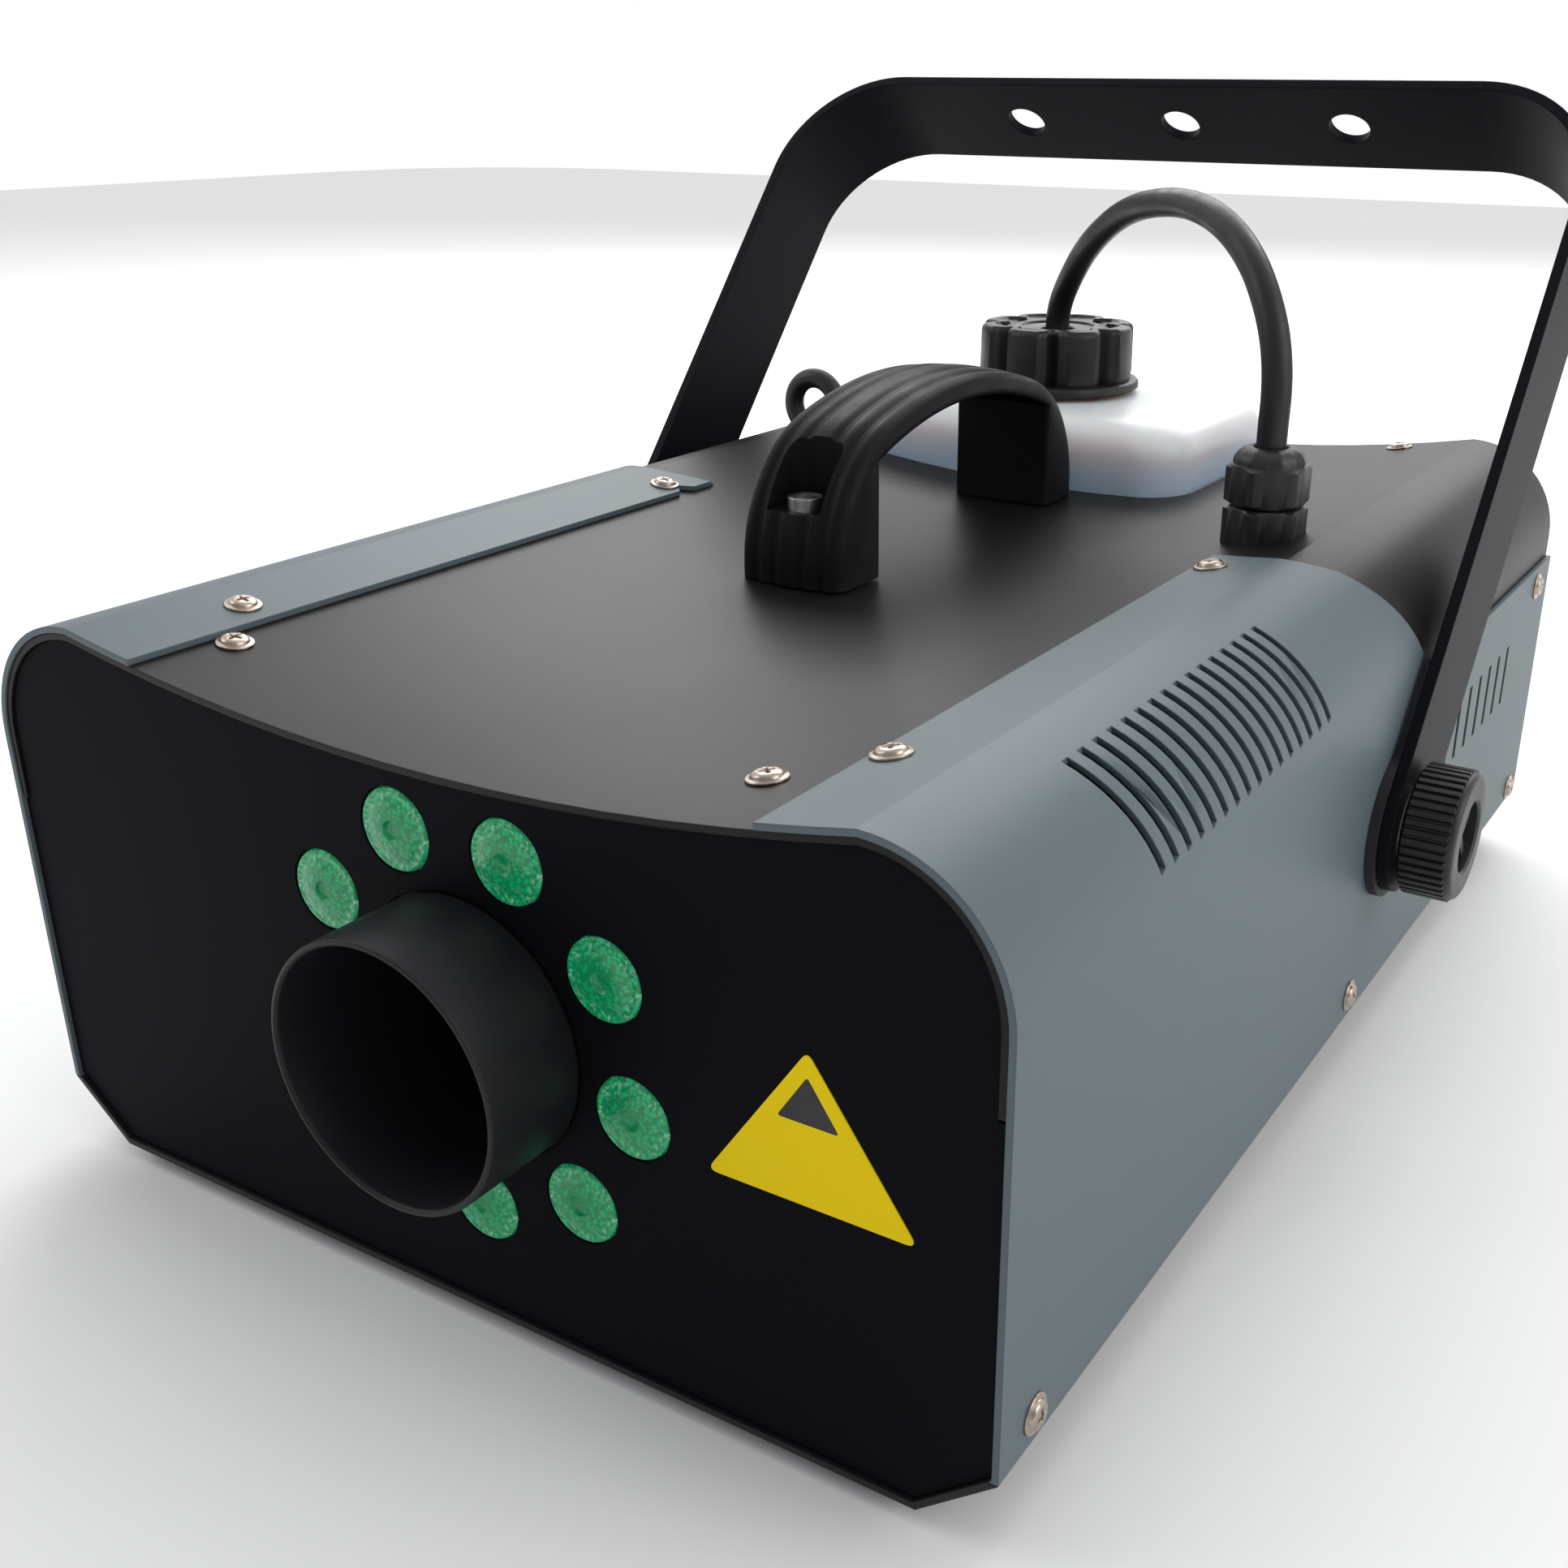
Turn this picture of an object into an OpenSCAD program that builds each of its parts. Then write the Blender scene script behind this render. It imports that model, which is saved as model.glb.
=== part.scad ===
// Fog machine with a tilting mounting bracket, a lift-out fluid tank and a ring of lights.
// X is the machine's right, Y runs from the nozzle to the rear panel, Z is up.
// The origin lies on the floor below the middle of the whole machine.

/* [Housing] */
// Width over the side covers
body_w = 260; // [240:1:280]
// Length from the front edge to the rear edge
body_l = 386; // [376:1:400]
// Height from the underside of the tray to the crest of the shoulders
body_h = 135; // [130:1:140]
// Sheet thickness of the tray, covers and panels
sheet = 1.5; // [1:0.1:2]
// Radius of the rounded shoulders
shoulder_r = 30; // [26:1:34]
// Depth of the dished top below the shoulders
dish_d = 9.8; // [6:0.1:12]
// Width of the chamfer along each lower edge
chamfer_w = 17; // [12:1:22]
// Height of the chamfer along each lower edge
chamfer_h = 14.3; // [10:0.1:18]
// Height of the seam between the side covers and the top cover at the rear
seam_h = 98; // [90:1:102]
// Distance from the middle to the inner edge of each cover flange
flange_x = 80; // [76:1:84]
// Length of the part of the side covers that wraps over the shoulder
wrap_l = 192; // [180:1:198]
// How far the front and rear panels sit inside the edges
recess = 1; // [0.5:0.1:2]

/* [Feet and screws] */
// Height of the rubber feet
foot_h = 4; // [3:0.5:8]
// Radius of the rubber feet
foot_r = 10; // [8:0.5:12]
// Radius of a cover screw's washer head
head_r = 4.2; // [3.8:0.1:4.6]
// Thread radius of a cover screw
screw_r = 1.9; // [1.5:0.1:2]

/* [Nozzle and lights] */
// Sideways place of the nozzle axis
nozzle_x = 8; // [4:1:12]
// Height of the nozzle axis above the underside of the tray
nozzle_h = 70; // [66:1:74]
// Outer radius of the nozzle tube
nozzle_r = 29; // [26:0.5:30]
// How far the nozzle tube stands out of the front edge
nozzle_out = 23; // [18:1:40]
// Radius of the circle of lights
ring_r = 42; // [40:0.5:44]
// Number of lights
light_n = 9; // [6:1:9]
// Radius of a lens front
lens_r = 8.8; // [8:0.1:9]

/* [Mounting bracket] */
// Angle by which the bracket leans back from upright
lean = 40.6; // [20:0.1:60]
// Distance of the bracket pivot from the front edge
pivot_y = 215.5; // [205:0.5:225]
// Height of the bracket pivot above the underside of the tray
pivot_h = 64.4; // [60:0.1:70]
// Distance from the pivot to the inside of the top bar
bracket_l = 217; // [212:1:222]
// Width of the bracket strap
strap_w = 36; // [32:1:38]
// Thickness of the bracket strap
strap_t = 3; // [2.5:0.5:3]
// Outer bend radius at the bracket corners
bend_r = 38; // [32:1:44]
// Radius of the three mounting holes
hang_r = 6.5; // [5:0.5:7]
// Distance between neighbouring mounting holes
hang_pitch = 56; // [50:1:60]
// Radius of the clamping knobs
knob_r = 17.5; // [15:0.5:19]
// Length of the clamping knobs
knob_l = 14; // [12:1:16]

/* [Tank, hose and handle] */
// Sideways place of the tank
tank_x = -28; // [-32:1:-24]
// Distance of the tank's middle from the front edge
tank_y = 328; // [325:1:331]
// Width of the tank
tank_w = 128; // [120:1:130]
// Depth of the tank from front to back
tank_d = 86; // [80:1:88]
// Height of the tank's shoulders above the underside of the tray
tank_top = 139; // [136:1:142]
// Radius of the tank cap
cap_r = 26; // [24:0.5:27]
// Outer radius of the fluid hose
hose_r = 4; // [3.5:0.1:4]
// Sideways place of the carry handle
handle_x = -10; // [-14:1:-6]
// Distance of the handle's front foot from the front edge
handle_y = 141; // [136:1:146]
// Length of the carry handle
handle_l = 137; // [133:1:141]
// Width of the carry handle
handle_w = 31; // [28:1:34]
// Height of the handle's crest above the underside of the tray
handle_top = 170; // [165:1:175]

/* [Hidden] */

$fn = 48;
eps = 0.01;
gap = 0.1;
loose = 0.3;
run = 0.05;

rear_out = 5;
front_y = (nozzle_out - rear_out - body_l) / 2;
rear_y = front_y + body_l;
mid_y = (front_y + rear_y) / 2;
half_w = body_w / 2;
crest_x = half_w - shoulder_r;
dish_r = (crest_x * crest_x + dish_d * dish_d) / (2 * dish_d);
chamfer_l = sqrt(chamfer_w * chamfer_w + chamfer_h * chamfer_h);

// Layers of the housing, counted inwards from the outer skin
skin = sheet;
lining = 2 * sheet;
inside = 2 * sheet + gap;
deck = foot_h + lining;

// Panels
panel_front = front_y + recess;
panel_back = panel_front + sheet;
rear_panel_y = rear_y - recess - sheet;
tray_wall_h = 32;
lip_h = 16;

// Screws in the top: place across, distance from the front edge
panel_screws = [[-75.6, 24], [66, 24]];
flange_screws = [[-88, 37], [84.4, 37], [-86, 189], [85, 189]];
rear_screws = [[-78, 376.7], [78, 376.7]];
side_screws = [[13.4, 20.8], [197, 20.8], [374, 19], [369, 91.6]];
head_h = 1.7;

// Lights
light_step = 40;
holder_r = lens_r + 1.2;
board_y = panel_back + 12;

// Bracket and pivot
py = front_y + pivot_y;
pz = foot_h + pivot_h;
pad_t = 2.5;
arm_in = half_w + pad_t;
arm_out = arm_in + strap_t;
washer_t = 1.5;
knob_in = arm_out + washer_t;
stud_r = 4;
stud_in = half_w - 14;

// Tank
ty = front_y + tank_y;
bay_gap = 2;
bay_floor = 30;
bay_wall = 1.2;
tank_floor = foot_h + bay_floor + bay_wall + run;
tank_wall = 2;
tank_r = 12;
neck_r = 20;
neck_y = ty + 2;
neck_top = foot_h + 161;
cap_base = foot_h + 147.3;
cap_h = 20.7;
cap_hole_r = hose_r + 2;
seal_t = 1.2;

// Gland and hose
gland_x = 83;
gland_y = front_y + 232;
gland_af = 20;
gland_seat = foot_h + 131;
gland_stem_r = 7.8;
hose_bore = hose_r + run;
route_normal = [0.66, 0.75, 0];
hose_route = [[-28, 137, 162], [-28, 137, 168], [-28, 137, 174], [-26, 135.4, 180],
    [-21, 131, 187.5], [-13.5, 124.2, 196], [-4.5, 116, 203], [6, 107, 209], [18, 96, 213],
    [31, 84.5, 215], [42, 75, 215], [52, 66.5, 213], [61, 59, 209], [69, 52, 203],
    [75, 46.5, 196], [79.5, 42.5, 188], [82, 40.2, 180], [83, 39.2, 172], [83, 39, 164],
    [83, 39, 156], [83, 39, 148]];
suction_route = [[83, 39, 148], [83, 39, 128], [83, 39, 112], [83, 42, 100], [84, 50, 88],
    [86, 62, 78], [88, 76, 72], [90, 88, 70], [90, 95, 70]];
pressure_route = [[13, 9, 64], [13, 25, 64], [15.5, 30.5, 64], [21, 33, 64], [50, 33, 64],
    [55.5, 35.5, 64.5], [58, 41, 65], [58, 96, 69], [60, 101.5, 70], [65, 104, 70],
    [70, 104, 70]];

// Internals
heater_x = nozzle_x;
heater_y = front_y + 52;
heater_l = 150;
heater_w = 56;
heater_z = foot_h + nozzle_h;
pump_x = 90;
pump_z = 70;

// ---------------------------------------------------------------- helpers

// Cross-section of the housing, shrunk inwards by d
module outline(d) {
    side_z = chamfer_h + d * (chamfer_l - chamfer_h) / chamfer_w;
    floor_x = half_w - chamfer_w - d * (chamfer_l - chamfer_w) / chamfer_h;
    difference() {
        union() {
            polygon([[-floor_x, d], [floor_x, d], [half_w - d, side_z],
                [half_w - d, body_h - shoulder_r], [d - half_w, body_h - shoulder_r],
                [d - half_w, side_z]]);
            translate([-crest_x, body_h - shoulder_r - eps])
                square([2 * crest_x, shoulder_r - d + eps]);
            for (s = [-1, 1])
                translate([s * crest_x, body_h - shoulder_r])
                    circle(r = shoulder_r - d, $fn = 96);
        }
        translate([0, body_h - dish_d + dish_r])
            circle(r = dish_r + d, $fn = 360);
    }
}

// Band of the cross-section between two depths
module band(d0, d1) {
    difference() {
        outline(d0);
        outline(d1);
    }
}

// Extrude a cross-section along Y between two distances from the front edge
module along(y0, y1) {
    translate([0, front_y + y1, foot_h])
        rotate([90, 0, 0])
            linear_extrude(height = y1 - y0)
                children();
}

// Box given by its corners
module block(lo, hi) {
    translate(lo)
        cube(hi - lo);
}

// Rectangle with exact round corners, centred
module soft_rect(w, d, r) {
    square([w - 2 * r, d], center = true);
    square([w, d - 2 * r], center = true);
    for (sx = [-1, 1], sy = [-1, 1])
        translate([sx * (w / 2 - r), sy * (d / 2 - r)])
            circle(r = r);
}

// Cylinder along X, starting at x and running to the right
module along_x(x, l, r) {
    translate([x, 0, 0])
        rotate([0, 90, 0])
            cylinder(r = r, h = l);
}

// Cylinder along Y, starting at y and running to the rear
module along_y(y, l, r) {
    translate([0, y, 0])
        rotate([-90, 0, 0])
            cylinder(r = r, h = l);
}

// Hexagonal prism by its width across flats
module hex(af, h) {
    cylinder(r = af / sqrt(3), h = h, $fn = 6);
}

// Pan-head screw with a washer rim, head underside at z = 0, pointing down
module screw(l) {
    difference() {
        union() {
            cylinder(r = head_r, h = 0.6);
            cylinder(r = head_r - 0.9, h = head_h);
            translate([0, 0, -l])
                cylinder(r = screw_r, h = l + eps);
        }
        for (a = [0, 90])
            rotate([0, 0, a])
                translate([-1.7, -0.4, head_h - 1])
                    cube([3.4, 0.8, 2]);
    }
}

// Height of the dished top above the tray's underside at a distance from the middle
function top_at(x) = body_h - dish_d + dish_r - sqrt(dish_r * dish_r - x * x);

// Slope of the dished top there, in degrees
function slope_at(x) = asin(x / dish_r);

// Place children on the outer skin of the top, lifted by h, facing outwards
module on_top(x, y, h) {
    translate([x, front_y + y, foot_h + top_at(x)])
        rotate([0, -slope_at(x), 0])
            translate([0, 0, h])
                children();
}

// Tube along a route, as one closed surface
function unit(v) = v / norm(v);
function tangent(p, i) = unit(p[min(i + 1, len(p) - 1)] - p[max(i - 1, 0)]);
function route_ring(p, i, r, n) =
    let (t = tangent(p, i), u = unit(cross(t, route_normal)), v = cross(t, u))
    [for (k = [0 : n - 1]) p[i] + r * (cos(360 * k / n) * u + sin(360 * k / n) * v)];
module tube(p, r, n) {
    m = len(p);
    rings = [for (i = [0 : m - 1]) each route_ring(p, i, r, n)];
    walls = [for (i = [0 : m - 2], k = [0 : n - 1]) let (a = i * n + k, b = i * n + (k + 1) % n)
        each [[a, a + n, b], [b, a + n, b + n]]];
    ends = [[for (k = [0 : n - 1]) k], [for (k = [n - 1 : -1 : 0]) (m - 1) * n + k]];
    polyhedron(points = rings, faces = concat(walls, ends), convexity = 6);
}

// ---------------------------------------------------------------- housing

// Side view of the part of a side cover that wraps over the shoulder
module wrap_side_view() {
    polygon([[0, chamfer_h + gap], [body_l, chamfer_h + gap], [body_l, seam_h], [241, seam_h],
        [227, 109], [214, 122], [203, 132], [wrap_l, 137], [wrap_l, 150], [0, 150]]);
}

module side_cover(s) {
    vent_n = 16;
    vent_pitch = 6.3;
    vent_w = 2.3;
    vent_lean = 21;
    slot_n = 8;
    slot_pitch = 11.3;
    slot_w = 3;
    difference() {
        intersection() {
            along(0, body_l)
                band(0, skin - gap);
            translate([s > 0 ? flange_x : -half_w - 1, front_y, foot_h])
                rotate([90, 0, 90])
                    linear_extrude(height = half_w + 1 - flange_x)
                        wrap_side_view();
        }
        // Clipped inner corner at the flange's rear end
        translate([s * flange_x, front_y + wrap_l, foot_h + 120])
            rotate([0, 0, 45])
                cube([5, 5, 60], center = true);
        // Slanted cooling slots over the shoulder
        for (i = [0 : vent_n - 1])
            translate([s * (half_w + 2), front_y + 51 + i * vent_pitch, foot_h + 132])
                rotate([vent_lean, 0, 0])
                    translate([-20, -vent_w / 2, -22])
                        cube([40, vent_w, 24]);
        // Upright cooling slots at the rear
        for (i = [0 : slot_n - 1])
            block([s * half_w - 5, front_y + 258 + i * slot_pitch, foot_h + 60],
                [s * half_w + 5, front_y + 258 + slot_w + i * slot_pitch, foot_h + 79]);
        side_screw_holes(s);
        translate([0, py, pz])
            along_x(s * half_w - 5, 10, stud_r + 2.5);
        for (p = flange_screws)
            on_top(p[0], p[1], -5)
                cylinder(r = screw_r + 0.2, h = 10);
    }
}

module side_screw_holes(s) {
    for (p = side_screws)
        translate([0, front_y + p[0], foot_h + p[1]])
            along_x(s * half_w - 6, 12, screw_r + 0.2);
}

module left_side_cover() {
    color([0.46, 0.53, 0.57])
        side_cover(-1);
}

module right_side_cover() {
    color([0.46, 0.53, 0.57])
        side_cover(1);
}

module base_tray() {
    color([0.08, 0.08, 0.09])
        difference() {
            union() {
                along(0, body_l)
                    intersection() {
                        band(0, sheet);
                        translate([-half_w, 0])
                            square([body_w, chamfer_h - gap]);
                    }
                along(recess + 2 * sheet, body_l - recess - 2 * sheet)
                    intersection() {
                        band(skin, lining);
                        translate([-half_w, sheet])
                            square([body_w, tray_wall_h]);
                    }
                for (y = [recess + sheet + gap, body_l - recess - 2 * sheet - gap])
                    along(y, y + sheet)
                        intersection() {
                            outline(sheet + gap);
                            translate([-half_w, 0])
                                square([body_w, lip_h]);
                        }
            }
            for (s = [-1, 1])
                side_screw_holes(s);
            foot_places()
                translate([0, 0, -1])
                    cylinder(r = 2, h = 12);
            // Cooling slots in the floor below the heater
            for (i = [0 : 9])
                block([heater_x - 30, front_y + 70 + i * 12, foot_h - 1],
                    [heater_x + 30, front_y + 74 + i * 12, foot_h + 5]);
        }
}

// Cross-section of a panel that sits inside the covers
module panel_section() {
    outline(inside);
    intersection() {
        outline(skin + gap);
        translate([-half_w, 0])
            square([body_w, seam_h - 9]);
    }
}

module front_panel() {
    color([0.06, 0.06, 0.07])
        difference() {
            union() {
                along(recess, recess + sheet)
                    panel_section();
                // Flange under the top cover
                along(recess, 32)
                    intersection() {
                        band(inside, inside + sheet);
                        translate([-crest_x, body_h - 20])
                            square([2 * crest_x, 20]);
                    }
            }
            translate([nozzle_x, 0, foot_h + nozzle_h]) {
                along_y(front_y - 1, 10, nozzle_r + loose);
                light_places()
                    along_y(front_y - 1, 10, lens_r + loose);
            }
            for (p = panel_screws)
                on_top(p[0], p[1], -8)
                    cylinder(r = screw_r + 0.2, h = 12);
        }
}

module rear_panel() {
    color([0.06, 0.06, 0.07])
        difference() {
            along(body_l - recess - sheet, body_l - recess)
                panel_section();
            rear_cutouts();
        }
}

// Places of the rear fittings: x and height above the tray's underside
inlet_at = [95, 45];
fuse_at = [95, 78];
switch_at = [60, 45];
remote_at = [60, 78];
button_at = [78, 106];
button_r = 6;
housing_r = 8.6;
pin_r = 1.2;

module at_rear(p) {
    translate([p[0], rear_y - recess, foot_h + p[1]])
        children();
}

module rear_cutouts() {
    at_rear(inlet_at)
        block([-13.8, -5, -10.2], [13.8, 5, 10.2]);
    at_rear(fuse_at)
        along_y(-5, 10, 6.3);
    at_rear(switch_at)
        block([-6.5, -5, -9.8], [6.5, 5, 9.8]);
    at_rear(remote_at)
        along_y(-5, 10, 8.2);
    at_rear(button_at)
        along_y(-5, 10, housing_r + gap);
}

module top_cover() {
    color([0.10, 0.10, 0.11])
        difference() {
            along(0.4, body_l - 0.4)
                intersection() {
                    band(skin, lining);
                    translate([-half_w, seam_h - 8])
                        square([body_w, body_h]);
                }
            // Opening over the tank
            translate([tank_x, ty, foot_h + 90])
                linear_extrude(height = 80)
                    soft_rect(tank_w + 2 * bay_gap, tank_d + 2 * bay_gap, tank_r + bay_gap);
            on_top(gland_x, gland_y - front_y, -8)
                cylinder(r = 8.2, h = 12);
            for (y = handle_screw_y)
                translate([handle_x, front_y + y, foot_h + 110])
                    cylinder(r = 2.7, h = 30);
            translate([eye_x, eye_y, foot_h + 110])
                cylinder(r = 4.2, h = 30);
            for (p = concat(panel_screws, flange_screws, rear_screws))
                on_top(p[0], p[1], -8)
                    cylinder(r = screw_r + 0.2, h = 12);
            for (s = [-1, 1])
                side_screw_holes(s);
        }
}

module tank_bay() {
    color([0.14, 0.14, 0.15])
        difference() {
            intersection() {
                translate([tank_x, ty, foot_h + bay_floor])
                    linear_extrude(height = 120)
                        soft_rect(tank_w + 2 * (bay_gap + bay_wall),
                            tank_d + 2 * (bay_gap + bay_wall), tank_r + bay_gap + bay_wall);
                along(0, body_l)
                    outline(inside);
            }
            translate([tank_x, ty, foot_h + bay_floor + bay_wall])
                linear_extrude(height = 120)
                    soft_rect(tank_w + 2 * bay_gap, tank_d + 2 * bay_gap, tank_r + bay_gap);
        }
}

module cover_screws() {
    color([0.55, 0.47, 0.40]) {
        for (p = panel_screws)
            on_top(p[0], p[1], run - skin)
                screw(5);
        for (p = flange_screws)
            on_top(p[0], p[1], run)
                screw(5);
        for (p = rear_screws)
            on_top(p[0], p[1], run - skin)
                screw(4);
        for (s = [-1, 1], p = side_screws)
            translate([s * half_w, front_y + p[0], foot_h + p[1]])
                rotate([0, s * 90, 0])
                    screw(5);
    }
}

module foot_places() {
    for (sx = [-1, 1], sy = [-1, 1])
        translate([sx * (half_w - 33), mid_y + sy * (body_l / 2 - 22), 0])
            children();
}

module rubber_feet() {
    color([0.07, 0.07, 0.07])
        foot_places()
            difference() {
                cylinder(r1 = foot_r - 1.2, r2 = foot_r, h = foot_h);
                translate([0, 0, -1])
                    cylinder(r = 4.5, h = 2.6);
                cylinder(r = screw_r + gap, h = foot_h + 1);
            }
}

module foot_screws() {
    head_t = 1.1;
    color([0.6, 0.58, 0.55])
        foot_places() {
            translate([0, 0, 0.5])
                cylinder(r = 4, h = head_t);
            translate([0, 0, 0.5])
                cylinder(r = screw_r, h = foot_h + 6);
            translate([0, 0, deck])
                hex(7, 3);
        }
}

module front_label() {
    label_x = 89.7;
    label_h = 58.3;
    half = 22;
    tall = 31;
    corner = 1.6;
    color([0.95, 0.80, 0.05])
        translate([label_x, panel_front, foot_h + label_h])
            rotate([90, 0, 0])
                linear_extrude(height = 0.3)
                    polygon([[corner - half, 0], [half - corner, 0], [half, corner],
                        [corner, tall - 1], [-corner, tall - 1], [-half, corner]]);
}

// ---------------------------------------------------------------- nozzle and lights

module light_places() {
    for (i = [0 : light_n - 1])
        rotate([0, 90 - light_step * i, 0])
            translate([ring_r, 0, 0])
                children();
}

module at_nozzle() {
    translate([nozzle_x, 0, foot_h + nozzle_h])
        children();
}

module nozzle_tube() {
    flange_r = nozzle_r + 2.4;
    color([0.05, 0.05, 0.06])
        at_nozzle()
            difference() {
                union() {
                    along_y(front_y - nozzle_out, nozzle_out + recess - loose, nozzle_r);
                    along_y(front_y, 28, nozzle_r - 0.5);
                    along_y(panel_back + gap, 1.5, flange_r);
                }
                along_y(front_y - nozzle_out - 1, nozzle_out + 40, nozzle_r - 1.6);
            }
}

module heater_nozzle() {
    color([0.72, 0.56, 0.28])
        at_nozzle()
            difference() {
                union() {
                    along_y(heater_y - 26, 26, 6);
                    along_y(heater_y - 4, 4, 11);
                }
                along_y(heater_y - 27, 28, 1.2);
            }
}

module led_lenses() {
    color([0.05, 0.75, 0.35])
        at_nozzle()
            light_places() {
                along_y(panel_front + 0.2, 3.5, lens_r);
                translate([0, panel_front + 3.7, 0])
                    rotate([-90, 0, 0])
                        cylinder(r1 = lens_r, r2 = 4.5, h = 8);
            }
}

module lens_holders() {
    color([0.10, 0.10, 0.10])
        at_nozzle()
            light_places()
                difference() {
                    along_y(panel_back + gap, board_y - panel_back - 2 * gap, holder_r);
                    along_y(panel_back, board_y - panel_back, lens_r + gap);
                }
}

module led_board() {
    color([0.85, 0.86, 0.85])
        at_nozzle()
            difference() {
                along_y(board_y, 1.6, ring_r + 7);
                along_y(board_y - 1, 4, nozzle_r + 1);
            }
}

module led_emitters() {
    color([0.95, 0.95, 0.85])
        at_nozzle()
            light_places()
                difference() {
                    along_y(board_y - 1.6, 1.6, 3.2);
                    along_y(board_y - 2, 1, 2);
                }
}

// ---------------------------------------------------------------- internals

module heater_block() {
    color([0.62, 0.62, 0.63])
        difference() {
            translate([heater_x, heater_y, heater_z])
                rotate([-90, 0, 0])
                    linear_extrude(height = heater_l)
                        soft_rect(heater_w, 44, 8);
            for (x = [-16, 16])
                translate([heater_x + x, 0, heater_z])
                    along_y(heater_y + 20, heater_l, 4.2);
        }
}

module heater_shroud() {
    wall = 1;
    half = heater_w / 2 + 12;
    crown = heater_z + 30;
    color([0.70, 0.71, 0.72])
        difference() {
            block([heater_x - half - wall, heater_y + 8, deck],
                [heater_x + half + wall, heater_y + heater_l - 8, crown]);
            block([heater_x - half, heater_y + 7, foot_h],
                [heater_x + half, heater_y + heater_l - 7, crown - wall]);
            // Air slots along both sides
            for (i = [0 : 6])
                block([heater_x - half - 3, heater_y + 22 + i * 16, heater_z - 20],
                    [heater_x + half + 3, heater_y + 28 + i * 16, heater_z + 18]);
        }
}

module heater_brackets() {
    color([0.66, 0.67, 0.68])
        for (y = [14, heater_l - 30])
            difference() {
                block([heater_x - 20, heater_y + y, deck],
                    [heater_x + 20, heater_y + y + 16, heater_z - 22]);
                block([heater_x - 18, heater_y + y - 1, deck - 1],
                    [heater_x + 18, heater_y + y + 17, heater_z - 24]);
            }
}

module heater_element() {
    color([0.75, 0.72, 0.66])
        for (x = [-16, 16])
            translate([heater_x + x, 0, heater_z]) {
                along_y(heater_y + 21, heater_l - 11, 4);
                along_y(heater_y + heater_l + 9, 8, 1.5);
            }
}

module thermostats() {
    color([0.18, 0.18, 0.20])
        for (y = [70, 100])
            translate([heater_x, heater_y + y, heater_z + 22]) {
                cylinder(r = 8, h = 3);
                cylinder(r = 6, h = 4.8);
            }
}

module pump_body() {
    color([0.35, 0.37, 0.40])
        translate([pump_x, mid_y, pump_z]) {
            along_y(95, 18, 12);
            along_y(113, 34, 19);
            along_y(147, 14, 9);
            translate([0, 104, 0])
                along_x(-20, 10, 3);
        }
}

module pump_bracket() {
    color([0.68, 0.69, 0.70])
        translate([0, mid_y, 0])
            difference() {
                block([pump_x - 24, 116, deck], [pump_x + 24, 144, pump_z + 6]);
                block([pump_x - 22.5, 115, deck + sheet], [pump_x + 22.5, 145, pump_z + 7]);
                // Corner trimmed to clear the chamfer of the tray
                block([pump_x + 21, 115, deck - 1], [pump_x + 25, 145, deck + 4]);
            }
}

module pump_dampers() {
    color([0.09, 0.09, 0.09])
        for (s = [-1, 1])
            translate([pump_x + s * 20.8, mid_y + 130, pump_z])
                cube([3.2, 16, 12], center = true);
}

module suction_hose() {
    color([0.06, 0.06, 0.06])
        translate([0, mid_y, 0])
            tube(suction_route, hose_r, 10);
}

module pressure_pipe() {
    color([0.78, 0.60, 0.30])
        translate([0, mid_y, 0])
            tube(pressure_route, 2, 8);
}

board_x = -87;
board_z = foot_h + 22;
board_t = 1.6;

module board_holes() {
    for (x = [board_x - 19, board_x + 19], y = [-55, 65])
        translate([x, mid_y + y, 0])
            children();
}

module control_board() {
    color([0.10, 0.35, 0.20])
        difference() {
            block([board_x - 23, mid_y - 60, board_z], [board_x + 23, mid_y + 70, board_z + board_t]);
            board_holes()
                cylinder(r = 1.7, h = 60);
        }
}

module board_standoffs() {
    color([0.80, 0.62, 0.28])
        board_holes()
            translate([0, 0, deck])
                difference() {
                    hex(6, board_z - deck);
                    translate([0, 0, 6])
                        cylinder(r = 1.5, h = 30);
                }
}

module board_relays() {
    color([0.12, 0.25, 0.55])
        translate([board_x, mid_y, board_z + board_t]) {
            for (y = [-45, -22])
                block([-17, y, 0], [1, y + 18, 15]);
            for (y = [10, 26])
                translate([-7, y, 0])
                    cylinder(r = 6, h = 20);
            block([9, -40, 0], [17, 40, 9]);
        }
}

module transformer() {
    color([0.30, 0.30, 0.32])
        translate([0, mid_y, foot_h]) {
            block([-104, -128, lining], [-62, -82, 40]);
            block([-98, -136, 10], [-68, -74, 34]);
        }
}

// ---------------------------------------------------------------- top fittings

handle_z = foot_h + top_at(handle_x) - skin;
handle_lift = 0.6;
handle_rise = foot_h + handle_top - handle_z - handle_lift;

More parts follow.
